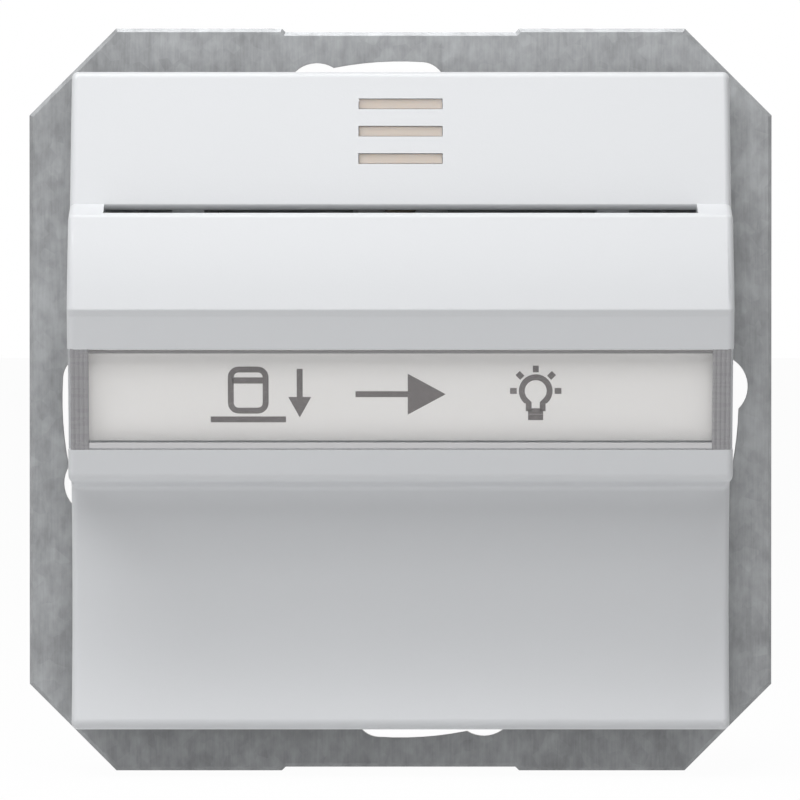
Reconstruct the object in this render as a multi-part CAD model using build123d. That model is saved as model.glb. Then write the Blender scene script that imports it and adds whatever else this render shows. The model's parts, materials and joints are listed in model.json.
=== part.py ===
from build123d import *
import math
import os

# Flush-mounted key card switch: a steel carrier plate on the wall, a plastic switch housing
# behind it and a snap-on cover with a card slot, a label and light slits in front.
# Millimetres. X runs to the right, Z up, and the front faces -Y. The wall plane is y = 0, and
# a distance called "front" is measured out of the wall, towards the user.

# Carrier plate
CARRIER_SIZE = 71.0
CARRIER_T = 1.2
CORNER_CUT = 8.3
EDGE_RECESS_W = 22.0
EDGE_RECESS_D = 0.35
SHEET_ROUND = 0.35
FIELD_SIDE = 3.5
FIELD_END = 2.5
FIELD_RISE = 1.0
FIELD_SLOPE = 0.7
FIELD_CORNER_R = 4.0
OPENING_W = 36.0
OPENING_R = 2.5
KEY_RADIUS = 30.1
KEY_SLOT_W = 4.6
KEY_HEAD_R = 3.0
KEY_HEAD_RADIUS = 30.3
KEY_SPAN_DEG = 19.1
KEY_HEAD_DEG = (105.3, 195.3, 285.3, 2.4)

# Cover, a shell open at the back
COVER_W = 62.0
COVER_H = 62.0
COVER_RIM_FRONT = 3.4
COVER_WALL = 1.8
COVER_EDGE_R = 0.8
PLATE_TOP_FRONT = 9.6
NOSE_ROOT_FRONT = 13.5
NOSE_ROOT_Z = 18.45
CREST_FRONT = 16.6
CREST_Z = 17.35
CREST_R = 0.5
BROW_FRONT = 19.2
BROW_Z = 7.9
BROW_OUT = 0.25
BROW_BEVEL_H = 0.6
BROW_BULGE = 0.2
BROW_R = 0.3
CHIN_FRONT = 16.38
CHIN_Z = -7.5
CHIN_R = 1.0
DISH_TOP_FRONT = 10.8
DISH_TOP_Z = -8.0
DISH_MID_FRONT = 9.4
DISH_MID_Z = -16.5
DISH_END_FRONT = 11.2
DISH_ROOT_R = 0.8
SIDE_R = 0.6
CHIN_WALL = 1.05
SLOT_WALL = 1.6

# Label channel in the face of the nose
LABEL_MID_Z = 0.16
LABEL_OPEN_H = 9.5
LABEL_LIP_T = 0.5
LABEL_LIP_REACH = 0.7
LABEL_CLEAR = 0.1
LABEL_FLOOR_T = 1.2
WINDOW_W = 61.4
WINDOW_T = 0.8
WINDOW_BEVEL = 0.3
STRIP_W = 59.4
STRIP_H = 8.8
STRIP_T = 0.25
STRIP_RAISE = 0.25
STRIP_GAP = 0.05

# Light slits and the diffuser behind them
SLIT_W = 7.9
SLIT_H = 1.0
SLIT_PITCH = 2.6
SLIT_MID_Z = 25.35
SLIT_COUNT = 3
DIFFUSER_W = 10.4
DIFFUSER_T = 1.2
DIFFUSER_LOW_Z = 19.2
DIFFUSER_MARGIN = 1.0
DIFFUSER_RECESS = 0.35
DIFFUSER_CLEAR = 0.05

# Card channel, leaning back as it goes down
CARD_SLOT_W = 55.5
CARD_GAP = 1.5
CARD_MOUTH_FRONT = 15.4
CARD_MOUTH_Z = 17.6
MOUTH_LIP_Z = 17.95
MOUTH_LIP_R = 0.45
MOUTH_FLARE_Z = 17.05
MOUTH_FLARE_DEG = 50.2
CARD_LEAN_DEG = 5.33
CARD_STOP_Z = -5.0
GUIDE_T = 1.2
GUIDE_CLEAR = 0.1
GUIDE_TOP_Z = 15.9
GUIDE_CHEEK_REACH = 0.4
GUIDE_WINDOW_TOP_Z = 3.2
GUIDE_WINDOW_LOW_Z = -4.8
TOE_CLEAR = 0.7
CARD_RIB_T = 1.2
CARD_RIB_TOP_Z = 14.6
CARD_RIB_X = (9.0, 17.5, 26.0)

# Card lever, its pin and its spring
PIVOT_FRONT = 9.2
PIVOT_Z = 8.5
LEVER_HUB_R = 2.0
LEVER_W = 7.2
LEVER_T = 2.0
LEVER_BACK_FRONT = 8.6
LEVER_LOW_Z = -4.5
TOE_TOP_Z = 0.6
TOE_FRONT = 13.3
TOE_TIP_Z = -3.0
TOE_LOW_Z = -3.9
LEVER_PAD_R = 1.2
LEVER_PAD_RISE = 0.4
HUB_W = 9.4
HUB_SPRING_ROOM = 3.1
EAR_T = 1.6
EAR_R = 2.1
EAR_CLEAR = 0.2
PIN_R = 0.8
PIN_CLEAR = 0.05
COIL_R = 1.5
COIL_T = 0.6
WIRE_R = 0.2
COIL_END_CLEAR = 0.15
SPRING_LEG_LOW_Z = 2.5
SPRING_LEG_TOP_Z = 14.0

# Cover legs that plug into the bridge
LEG_X = 20.0
LEG_Z = 19.0
LEG_W = 3.0
LEG_CLEAR = 0.1
LEG_END_FRONT = 2.5
LEG_CHAMFER = 0.5
SOCKET_WALL = 1.2
SOCKET_TOP_FRONT = 6.6

# Bridge, the plastic plate that clamps the carrier to the base
BRIDGE_SIDE = 6.0
BRIDGE_END = 3.0
BRIDGE_T = 1.6
BRIDGE_R = 2.5
BRIDGE_PLUG_CLEAR = 0.2
PLUNGER_Z = -2.5
PLUNGER_R = 2.6
PLUNGER_CLEAR = 0.06
PLUNGER_GAP = 0.3
GUIDE_BOSS_R = 4.4
GUIDE_BOSS_FRONT = 5.7
COLLAR_R = 3.8
COLLAR_T = 2.0
STEM_R = 1.5
STEM_END_R = 1.2
PRESSURE_SPRING_R = 2.4
PRESSURE_SPRING_T = 0.6

# Base, the moulded housing in the wall box
BASE_SIDE = 4.0
BASE_H = 46.0
BASE_END = 2.0
BASE_R = 27.4
BASE_BACK_Y = 24.5
BASE_FLOOR_T = 1.8
BASE_EDGE = 0.8
CLAW_BAY_HALF = 6.6
CLAW_BAY_ROOM = 3.5
CHAMBER_HALF_W = 5.0
CHAMBER_SPARE = 3.0
WEB_FRONT_Y = 7.0
WEB_T = 1.5
WEB_HALF_H = 5.0
POCKET_SIDE = 5.4
POCKET_W = 8.0
POCKET_END = 5.5
POCKET_GAP = 9.0

# Terminals, clamp springs and wire entries
CAGE_CLEAR = 0.15
CAGE_T = 0.8
CAGE_FRONT_Y = 9.0
CAGE_BACK_Y = 22.3
WIRE_HOLE_R = 1.6
WIRE_INSET = 1.4
WIRE_SPREAD = 3.0
CLAMP_T = 0.4
CLAMP_SIDE = 1.5
CLAMP_FOOT_Y = 10.6
CLAMP_TIP_Y = 20.6
CLAMP_TIP_RUN = 4.6
BUS_T = 0.8
BUS_W = 4.0
BUS_CLEAR = 0.2

# Moving contact and its mating contacts
ARM_FRONT_Y = 13.4
ARM_T = 0.8
ARM_W = 5.0
ARM_PIVOT_DROP = 1.0
ARM_BEAD_R = 0.6
RIVET_DROP = 3.6
RIVET_R = 1.4
RIVET_H = 0.6
CONTACT_GAP = 0.3
ARM_SWING_DEG = 9.3
KNIFE_R = 0.8

# Release buttons
BUTTON_W = 5.4
BUTTON_ROOM = 1.5
BUTTON_BAY_CLEAR = 0.3
BUTTON_STAND = 1.5
BUTTON_TRAVEL = 1.2
BUTTON_CLEAR = 0.15
BUTTON_FLANGE_W = 7.4
BUTTON_FLANGE_T = 2.0
BUTTON_LENGTH = 8.0
BUTTON_BAR_W = 1.8
BUTTON_BAR_T = 1.6
BUTTON_BAR_REACH = 4.5
BUTTON_BAR_FRONT_Y = 17.4
BUTTON_BAR_OUT = 1.3
BUTTON_RIB_H = 0.4
BUTTON_STOP_GAP = 0.3

# Spreading claws, their pins and screws
CLAW_SCREW_SIDE = 3.8
CLAW_ARM = 3.8
CLAW_PIVOT_Y = 9.6
CLAW_SWING_DEG = 18.0
CLAW_T = 1.2
CLAW_W = 8.6
CLAW_KNUCKLE_R = 1.8
CLAW_LUG_END = 7.0
CLAW_ARM_LENGTH = 12.2
CLAW_TIP_OUT = 1.3
CLAW_TIP_RUN = 2.4
CLAW_TOOTH = 1.1
CLAW_TEETH = 4
CLAW_EAR_T = 1.6
CLAW_EAR_CLEAR = 0.4
CLAW_SCREW_R = 1.5
CLAW_SCREW_CLEAR = 0.1
CLAW_HOLE_CLEAR = 0.2
CLAW_SCREW_END_Y = 15.5
CLAW_HEAD_R = 2.6
CLAW_HEAD_H = 1.6
HEAD_SEAT_GAP = 0.05
HEAD_NOTCH_R = 3.4
CROSS_W = 0.8
CROSS_DEPTH = 0.9

# Screws that hold bridge, carrier and base together
SCREW_SIDE = 1.8
SCREW_Z = 10.2
SCREW_R = 1.2
SCREW_CLEAR = 0.2
SCREW_HEAD_R = 2.2
SCREW_HEAD_H = 1.3
SCREW_END_Y = 9.0
THREAD_CLEAR = 0.03

# Glow lamp, its holder and its contacts
LAMP_INSET = 1.8
LAMP_R = 1.9
LAMP_FRONT = 7.6
LAMP_TAIL_FRONT = 4.6
LAMP_CLEAR = 0.1
HOLDER_W = 9.0
HOLDER_H = 5.6
HOLDER_FRONT = 6.2
HOLDER_EDGE = 0.5
LAMP_PIN_X = 2.8
LAMP_PIN_W = 1.6
LAMP_PIN_T = 0.5
LAMP_PIN_BACK_Y = 4.0
LAMP_PIN_CLEAR = 0.15

# One overrun serves every cut that runs out of a solid
CUT = 1.0

# Levels shared by neighbours
CARRIER_FRONT = CARRIER_T
FIELD_FRONT = CARRIER_T + FIELD_RISE
FIELD_BACK = FIELD_RISE
BRIDGE_FRONT = FIELD_FRONT + BRIDGE_T
BROW_TOP_FRONT = BROW_FRONT + BROW_OUT
BROW_TOP_Z = BROW_Z + BROW_BEVEL_H
INSIDE_ROOT_Z = NOSE_ROOT_Z - SLOT_WALL
FACE_SLOPE = math.atan2(BROW_FRONT - CHIN_FRONT, BROW_Z - CHIN_Z)
LABEL_GROOVE_D = LABEL_LIP_T + LABEL_CLEAR + WINDOW_T + STRIP_GAP + STRIP_T + LABEL_CLEAR
CARD_LEAN = math.tan(math.radians(CARD_LEAN_DEG))
MOUTH_FLARE = math.tan(math.radians(MOUTH_FLARE_DEG))

# Places across the switch follow the carrier's opening
BASE_W = OPENING_W + 2 * BASE_SIDE
FIELD_W = BASE_W + 2 * FIELD_SIDE
BRIDGE_W = OPENING_W + 2 * BRIDGE_SIDE
SCREW_X = OPENING_W / 2 + SCREW_SIDE
CLAW_SCREW_X = OPENING_W / 2 + CLAW_SCREW_SIDE
CLAW_BAY_X = CLAW_SCREW_X - CLAW_BAY_ROOM
POCKET_X = OPENING_W / 2 - POCKET_SIDE
WIRE_X = POCKET_X - WIRE_INSET
BUTTON_BAR_X = POCKET_X + BUTTON_BAR_OUT

# Places up the switch follow the height of the base
OPENING_H = BASE_H - 2 * BASE_END
FIELD_H = BASE_H + 2 * FIELD_END
BRIDGE_H = OPENING_H + 2 * BRIDGE_END
POCKET_H = (BASE_H - POCKET_GAP) / 2 - POCKET_END
POCKET_Z = (POCKET_GAP + POCKET_H) / 2
CLAMP_W = POCKET_H - 2 * CLAMP_SIDE
BUTTON_H = POCKET_GAP - 2 * BUTTON_ROOM
BUTTON_BAY_H = BUTTON_H + 2 * BUTTON_BAY_CLEAR
BUTTON_BAR_HALF = POCKET_GAP / 2 + BUTTON_BAR_REACH
ARM_PIVOT_Z = -POCKET_Z - ARM_PIVOT_DROP
RIVET_Z = POCKET_Z - RIVET_DROP
LAMP_Z = OPENING_H / 2 - LAMP_INSET


def slab(x0, x1, y0, y1, z0, z1):
    """A box between three pairs of limits."""
    middle = Pos((x0 + x1) / 2, (y0 + y1) / 2, (z0 + z1) / 2)
    return middle * Box(abs(x1 - x0), abs(y1 - y0), abs(z1 - z0))


def block(x, z, width, height, front, back_y):
    """A box centred on (x, z), from a front distance back to a y."""
    return slab(x - width / 2, x + width / 2, -front, back_y, z - height / 2, z + height / 2)


def plate(sketch, front, back_y):
    """A front-view sketch carried from a y forward to a front distance."""
    return extrude(Plane.XZ.offset(-back_y) * sketch, amount=back_y + front, dir=(0, -1, 0))


def across(sketch, x0, x1):
    """A side-view sketch carried along X."""
    return extrude(Plane.YZ.offset(x0) * sketch, amount=x1 - x0, dir=(1, 0, 0))


def side_view(points):
    """A side-view face through (front, z) points."""
    return make_face(Polyline([(-front, z) for front, z in points], close=True))


def rod(start, end, radius):
    """A round rod between two (x, y, z) points."""
    run = Vector(*end) - Vector(*start)
    foot = Plane(origin=start, z_dir=run)
    return extrude(foot * Circle(radius), amount=run.length, dir=run)


def pin_x(radius, x0, x1, y, z):
    """A round bar along X."""
    return rod((x0, y, z), (x1, y, z), radius)


def pin_y(radius, x, z, y0, y1):
    """A round bar along Y."""
    return rod((x, y0, z), (x, y1, z), radius)


def pin_z(radius, x, y, z0, z1):
    """A round bar along Z."""
    return rod((x, y, z0), (x, y, z1), radius)


def mirrored(shape):
    """The same shape on the other side of the middle plane."""
    return mirror(shape, about=Plane.YZ)


def nose_front(z):
    """Front distance of the label face of the nose at height z."""
    return BROW_FRONT - (BROW_Z - z) * math.tan(FACE_SLOPE)


def brow_front(z):
    """Front distance of the upper face of the nose at height z."""
    share = (z - BROW_TOP_Z) / (CREST_Z - BROW_TOP_Z)
    return BROW_TOP_FRONT + share * (CREST_FRONT - BROW_TOP_FRONT)


def plate_front(z):
    """Front distance of the leaning plate above the nose at height z."""
    share = (COVER_H / 2 - z) / (COVER_H / 2 - NOSE_ROOT_Z)
    return PLATE_TOP_FRONT + share * (NOSE_ROOT_FRONT - PLATE_TOP_FRONT)


def inside_front(z):
    """Front distance of the inner side of the leaning plate at height z."""
    top = COVER_H / 2 - COVER_WALL
    inner_top = plate_front(top) - COVER_WALL
    share = (top - z) / (top - INSIDE_ROOT_Z)
    return inner_top + share * (NOSE_ROOT_FRONT - COVER_WALL - inner_top)


def card_front(z):
    """Front side of the card channel at height z."""
    return CARD_MOUTH_FRONT - (CARD_MOUTH_Z - z) * CARD_LEAN


def card_back(z):
    """Rear side of the card channel at height z."""
    return card_front(z) - CARD_GAP


def label_plane():
    """Plane on the label face: X along the strip, Y up the face, Z out of it."""
    outward = (0, -math.cos(FACE_SLOPE), -math.sin(FACE_SLOPE))
    return Plane(origin=(0, -nose_front(LABEL_MID_Z), LABEL_MID_Z), x_dir=(1, 0, 0), z_dir=outward)


def label_slab(width, height, depth0, depth1, raise_by=0.0):
    """A box on the label face between two depths below it."""
    middle = Pos(0, raise_by, -(depth0 + depth1) / 2)
    return label_plane() * (middle * Box(width, height, depth1 - depth0))


def carrier_outline(size):
    """Square with cut corners and shallow recesses in the top and bottom edge."""
    half = size / 2
    cut = half - CORNER_CUT
    outline = Polyline(
        (-half, -cut), (-cut, -half), (cut, -half), (half, -cut),
        (half, cut), (cut, half), (-cut, half), (-half, cut), close=True)
    face = make_face(outline)
    for side in (-1, 1):
        inner = EDGE_RECESS_W / 2
        outer = inner + EDGE_RECESS_D
        edge = side * half
        recess = Polyline(
            (-outer, edge), (-inner, edge - side * EDGE_RECESS_D),
            (inner, edge - side * EDGE_RECESS_D), (outer, edge), close=True)
        face -= make_face(recess)
    return face


def keyholes():
    """Four curved slots on the box-screw circle, each with a round head hole."""
    sketch = Sketch()
    for head in KEY_HEAD_DEG:
        path = CenterArc((0, 0), KEY_RADIUS, head - KEY_SPAN_DEG, KEY_SPAN_DEG)
        sketch += SlotArc(path, KEY_SLOT_W)
        turn = math.radians(head)
        centre = Pos(KEY_HEAD_RADIUS * math.cos(turn), KEY_HEAD_RADIUS * math.sin(turn))
        sketch += centre * Circle(KEY_HEAD_R)
    return sketch


def field_outline(inset):
    """The raised field's outline, drawn in by an inset."""
    return RectangleRounded(FIELD_W - 2 * inset, FIELD_H - 2 * inset, FIELD_CORNER_R)


def raised_field(inset, base_front, top_front):
    """Tapered pad between two levels, narrower towards the front."""
    base = Plane.XZ.offset(base_front) * field_outline(inset)
    top = Plane.XZ.offset(top_front) * field_outline(inset + FIELD_SLOPE)
    return loft([base, top])


def carrier_ring():
    sheet = plate(carrier_outline(CARRIER_SIZE), CARRIER_FRONT, 0)
    rim = sheet.faces().sort_by(Axis.Y)[0].outer_wire().edges()
    sheet = chamfer(rim, SHEET_ROUND)
    sheet += raised_field(0, 0, FIELD_FRONT)
    sheet -= raised_field(CARRIER_T, 0, FIELD_BACK)
    sheet -= plate(field_outline(CARRIER_T), 0, CUT)
    sheet -= plate(RectangleRounded(OPENING_W, OPENING_H, OPENING_R), FIELD_FRONT + CUT, CUT)
    sheet -= plate(keyholes(), FIELD_FRONT + CUT, CUT)
    for x in (-CLAW_SCREW_X, CLAW_SCREW_X):
        sheet -= pin_y(CLAW_SCREW_R + CLAW_SCREW_CLEAR, x, 0, -FIELD_FRONT - CUT, CUT)
    for x, z in screw_places():
        sheet -= pin_y(SCREW_R + SCREW_CLEAR, x, z, -FIELD_FRONT - CUT, CUT)
    return sheet


def screw_places():
    return [(x, z) for x in (-SCREW_X, SCREW_X) for z in (-SCREW_Z, SCREW_Z)]


def leg_places():
    return [(x, z) for x in (-LEG_X, LEG_X) for z in (-LEG_Z, LEG_Z)]


def cover_side():
    """Outside of the cover in side view."""
    top = COVER_H / 2
    rim, plate_top = -COVER_RIM_FRONT, (-PLATE_TOP_FRONT, top)
    root, crest = (-NOSE_ROOT_FRONT, NOSE_ROOT_Z), (-CREST_FRONT, CREST_Z)
    brow_top, brow = (-BROW_TOP_FRONT, BROW_TOP_Z), (-BROW_FRONT, BROW_Z)
    swell = (-(CREST_FRONT + BROW_TOP_FRONT) / 2 - BROW_BULGE, (CREST_Z + BROW_TOP_Z) / 2)
    chin, dish_top = (-CHIN_FRONT, CHIN_Z), (-DISH_TOP_FRONT, DISH_TOP_Z)
    dish_end = (-DISH_END_FRONT, -top)
    edges = [
        Line((rim, top), plate_top),
        Line(plate_top, root),
        Line(root, crest),
        ThreePointArc(crest, swell, brow_top),
        Line(brow_top, brow),
        Line(brow, chin),
        Line(chin, dish_top),
        ThreePointArc(dish_top, (-DISH_MID_FRONT, DISH_MID_Z), dish_end),
        Line(dish_end, (rim, -top)),
        Line((rim, -top), (rim, top)),
    ]
    face = make_face(edges)
    corners = [
        (plate_top, COVER_EDGE_R),
        (crest, CREST_R),
        (brow_top, BROW_R),
        (chin, CHIN_R),
        (dish_top, DISH_ROOT_R),
        (dish_end, COVER_EDGE_R),
    ]
    for place, radius in corners:
        corner = face.vertices().sort_by_distance((place[0], place[1], 0))[0]
        face = fillet(corner, radius)
    return face


def cover_hollow():
    """Inside of the cover in side view, with the wall taken off the outside."""
    top = COVER_H / 2 - COVER_WALL
    rim = COVER_RIM_FRONT - CUT
    ledge_z = CREST_Z - SLOT_WALL
    floor_z = CHIN_Z + CHIN_WALL
    skin = (LABEL_GROOVE_D + LABEL_FLOOR_T) / math.cos(FACE_SLOPE)
    neck_z = BROW_Z - LABEL_LIP_REACH
    dish_top = DISH_TOP_FRONT - COVER_WALL
    points = [
        (rim, top), (inside_front(top), top), (inside_front(INSIDE_ROOT_Z), INSIDE_ROOT_Z),
        (brow_front(ledge_z) - COVER_WALL, ledge_z),
        (brow_front(BROW_TOP_Z) - COVER_WALL, BROW_TOP_Z),
        (nose_front(neck_z) - skin, neck_z),
        (nose_front(floor_z) - skin, floor_z),
        (dish_top, floor_z),
    ]
    path = Polyline([(-front, z) for front, z in points])
    dish = ThreePointArc(
        (-dish_top, floor_z),
        (-(DISH_MID_FRONT - COVER_WALL), DISH_MID_Z),
        (-(DISH_END_FRONT - COVER_WALL), -top))
    back = Polyline((-(DISH_END_FRONT - COVER_WALL), -top), (-rim, -top), (-rim, top))
    return make_face(path.edges() + [dish] + back.edges())


def card_slot_cut():
    """The mouth for the card, with a rounded lip on the plate and a flared front wall."""
    low, high = GUIDE_TOP_Z - CUT, NOSE_ROOT_Z + MOUTH_LIP_R
    behind = NOSE_ROOT_FRONT - COVER_WALL - CUT
    flare_front = card_front(MOUTH_FLARE_Z)
    mouth = side_view([
        (behind, low), (card_front(low), low), (flare_front, MOUTH_FLARE_Z),
        (flare_front + (high - MOUTH_FLARE_Z) * MOUTH_FLARE, high),
        (NOSE_ROOT_FRONT, high), (NOSE_ROOT_FRONT, MOUTH_LIP_Z), (behind, MOUTH_LIP_Z),
    ])
    lip = mouth.vertices().sort_by_distance((-NOSE_ROOT_FRONT, MOUTH_LIP_Z, 0))[0]
    return across(fillet(lip, MOUTH_LIP_R), -CARD_SLOT_W / 2, CARD_SLOT_W / 2)


def card_ribs():
    """Ribs behind the face of the nose that guide the front of the card."""
    low = CARD_STOP_Z
    wall = COVER_WALL / 2
    profile = side_view([
        (card_front(low), low), (nose_front(low) - LABEL_GROOVE_D - wall, low),
        (nose_front(BROW_Z) - LABEL_GROOVE_D - wall, BROW_Z),
        (brow_front(CARD_RIB_TOP_Z) - wall, CARD_RIB_TOP_Z),
        (card_front(CARD_RIB_TOP_Z), CARD_RIB_TOP_Z),
    ])
    ribs = Part()
    for x in CARD_RIB_X:
        rib = across(profile, x - CARD_RIB_T / 2, x + CARD_RIB_T / 2)
        ribs += rib + mirrored(rib)
    return ribs


def slit_heights():
    first = SLIT_MID_Z - SLIT_PITCH * (SLIT_COUNT - 1) / 2
    return [first + SLIT_PITCH * step for step in range(SLIT_COUNT)]


def cover_leg(x, z):
    """Square post from the rim level up to the outside of the cover."""
    return block(x, z, LEG_W, LEG_W, BROW_FRONT, -COVER_RIM_FRONT)


def cover_leg_tip(x, z):
    """The end of a post that stands behind the rim and enters its socket."""
    tip = block(x, z, LEG_W, LEG_W, COVER_RIM_FRONT, -LEG_END_FRONT)
    return chamfer(tip.faces().sort_by(Axis.Y)[-1].edges(), LEG_CHAMFER)


def cover_plate():
    half = COVER_W / 2
    shell = across(cover_side(), -half, half)
    ends = shell.faces().sort_by(Axis.X)
    edges = [edge for end in (ends[0], ends[-1]) for edge in end.outer_wire().edges()
             if edge.center().Y < -COVER_RIM_FRONT - SIDE_R / 2]
    shell = fillet(edges, SIDE_R)
    legs = [cover_leg(x, z) & shell for x, z in leg_places()]
    inside = half - COVER_WALL
    shell -= across(cover_hollow(), -inside, inside)
    shell += legs + [cover_leg_tip(x, z) for x, z in leg_places()]
    shell += card_ribs()
    shell -= card_slot_cut()
    shell -= label_slab(COVER_W + CUT, LABEL_OPEN_H, -CUT, LABEL_LIP_T + LABEL_CLEAR)
    groove_h = LABEL_OPEN_H + 2 * LABEL_LIP_REACH
    shell -= label_slab(COVER_W + CUT, groove_h, LABEL_LIP_T, LABEL_GROOVE_D)
    for z in slit_heights():
        front, behind = plate_front(z - SLIT_H), inside_front(z + SLIT_H)
        shell -= block(0, z, SLIT_W, SLIT_H, front, -behind)
    return shell


def label_window():
    """Clear slide: a base behind the lips and a raised pad between them."""
    base_front = LABEL_LIP_T + LABEL_CLEAR
    base_h = LABEL_OPEN_H + 2 * (LABEL_LIP_REACH - LABEL_CLEAR)
    base = label_slab(WINDOW_W, base_h, base_front, base_front + WINDOW_T)
    pad_h = LABEL_OPEN_H - 2 * LABEL_CLEAR
    pad = label_slab(WINDOW_W, pad_h, LABEL_CLEAR, base_front)
    outward = Axis(label_plane().origin, label_plane().z_dir)
    face = pad.faces().sort_by(outward)[-1]
    pad = chamfer(face.edges().filter_by(Axis.X), WINDOW_BEVEL)
    return base + pad


def label_strip():
    front = LABEL_LIP_T + LABEL_CLEAR + WINDOW_T + STRIP_GAP
    return label_slab(STRIP_W, STRIP_H, front, front + STRIP_T, STRIP_RAISE)


def lamp_diffuser():
    """Light guide behind the slits, with a bar that fills each slit."""
    low, high = DIFFUSER_LOW_Z, COVER_H / 2 - COVER_WALL - DIFFUSER_MARGIN
    low_front, high_front = inside_front(low) - DIFFUSER_CLEAR, inside_front(high) - DIFFUSER_CLEAR
    back_plate = across(side_view([
        (low_front, low), (high_front, high),
        (high_front - DIFFUSER_T, high), (low_front - DIFFUSER_T, low),
    ]), -DIFFUSER_W / 2, DIFFUSER_W / 2)
    bar_w, bar_h = SLIT_W - 2 * DIFFUSER_CLEAR, SLIT_H - 2 * DIFFUSER_CLEAR
    for z in slit_heights():
        front, behind = plate_front(z) - DIFFUSER_RECESS, inside_front(z + SLIT_H) - DIFFUSER_CLEAR
        back_plate += block(0, z, bar_w, bar_h, front, -behind)
    return back_plate


def pivot():
    return -PIVOT_FRONT, PIVOT_Z


def card_guide():
    """Rear wall, cheeks and stop of the card channel, with the ears for the lever pin."""
    half = COVER_W / 2 - COVER_WALL - GUIDE_CLEAR
    floor_z = CHIN_Z + CHIN_WALL + GUIDE_CLEAR
    wall = side_view([
        (card_back(floor_z) - GUIDE_T, floor_z), (card_back(floor_z), floor_z),
        (card_back(GUIDE_TOP_Z), GUIDE_TOP_Z), (card_back(GUIDE_TOP_Z) - GUIDE_T, GUIDE_TOP_Z),
    ])
    guide = across(wall, -half, half)
    reach = GUIDE_CHEEK_REACH
    cheek = across(side_view([
        (card_back(floor_z) - GUIDE_T, floor_z), (card_front(floor_z) + reach, floor_z),
        (card_front(CARD_RIB_TOP_Z) + reach, CARD_RIB_TOP_Z),
        (card_back(CARD_RIB_TOP_Z) - GUIDE_T, CARD_RIB_TOP_Z),
    ]), CARD_SLOT_W / 2, half)
    guide += cheek + mirrored(cheek)
    shelf = side_view([
        (card_back(floor_z) - GUIDE_T, floor_z), (card_front(floor_z) + reach, floor_z),
        (card_front(CARD_STOP_Z) + reach, CARD_STOP_Z), (card_back(CARD_STOP_Z), CARD_STOP_Z),
    ])
    guide += across(shelf, -half, half)
    window = LEVER_W / 2 + TOE_CLEAR
    guide -= slab(-window, window, -card_front(GUIDE_TOP_Z), 0,
                  GUIDE_WINDOW_LOW_Z, GUIDE_WINDOW_TOP_Z)
    ear_in = HUB_W / 2 + EAR_CLEAR
    y, z = pivot()
    ear = across(Pos(y, z) * Circle(EAR_R), ear_in, ear_in + EAR_T)
    root = -(card_back(PIVOT_Z) - GUIDE_T / 2)
    ear += slab(ear_in, ear_in + EAR_T, root, y, z - EAR_R, z + EAR_R)
    ear -= pin_x(PIN_R + PIN_CLEAR, ear_in - CUT, ear_in + EAR_T + CUT, y, z)
    return guide + ear + mirrored(ear)


def card_lever():
    """Bell lever: hub at the top, cam toe in the card channel, pad on the plunger."""
    y, z = pivot()
    arm_front = LEVER_BACK_FRONT + LEVER_T
    half = LEVER_W / 2
    arm = across(side_view([
        (LEVER_BACK_FRONT, PIVOT_Z), (LEVER_BACK_FRONT, LEVER_LOW_Z), (arm_front, LEVER_LOW_Z),
        (TOE_FRONT, TOE_LOW_Z), (TOE_FRONT, TOE_TIP_Z), (arm_front, TOE_TOP_Z),
        (arm_front, PIVOT_Z),
    ]), -half, half)
    hub_w = HUB_W / 2
    lever = arm + pin_x(LEVER_HUB_R, -hub_w, hub_w - HUB_SPRING_ROOM, y, z)
    pad_front = LEVER_BACK_FRONT - LEVER_PAD_RISE + LEVER_PAD_R
    lever += pin_x(LEVER_PAD_R, -half, half, -pad_front, PLUNGER_Z)
    coil_cut = LEVER_HUB_R + PIN_CLEAR
    lever -= pin_x(coil_cut, hub_w - HUB_SPRING_ROOM, hub_w + CUT, y, z)
    return lever - pin_x(PIN_R + PIN_CLEAR, -hub_w - CUT, hub_w + CUT, y, z)


def lever_pin():
    y, z = pivot()
    half = HUB_W / 2 + EAR_CLEAR + EAR_T
    return pin_x(PIN_R, -half, half, y, z)


def lever_spring():
    """Torsion spring beside the hub: one leg on the guide, one behind the lever."""
    y, z = pivot()
    x1 = HUB_W / 2 - COIL_END_CLEAR
    x0 = HUB_W / 2 - HUB_SPRING_ROOM + COIL_END_CLEAR
    coil = pin_x(COIL_R + COIL_T / 2, x0, x1, y, z)
    coil -= pin_x(COIL_R - COIL_T / 2, x0 - CUT, x1 + CUT, y, z)
    near, far = x0 + 2 * WIRE_R, x1 - 2 * WIRE_R
    lever_leg_y = -LEVER_BACK_FRONT + WIRE_R + PIN_CLEAR
    coil += rod((near, y + COIL_R, z), (near, lever_leg_y, SPRING_LEG_LOW_Z), WIRE_R)
    wall_y = -(card_back(SPRING_LEG_TOP_Z) - GUIDE_T) + WIRE_R + PIN_CLEAR
    coil += rod((far, y - COIL_R, z), (far, wall_y, SPRING_LEG_TOP_Z), WIRE_R)
    return coil


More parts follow.
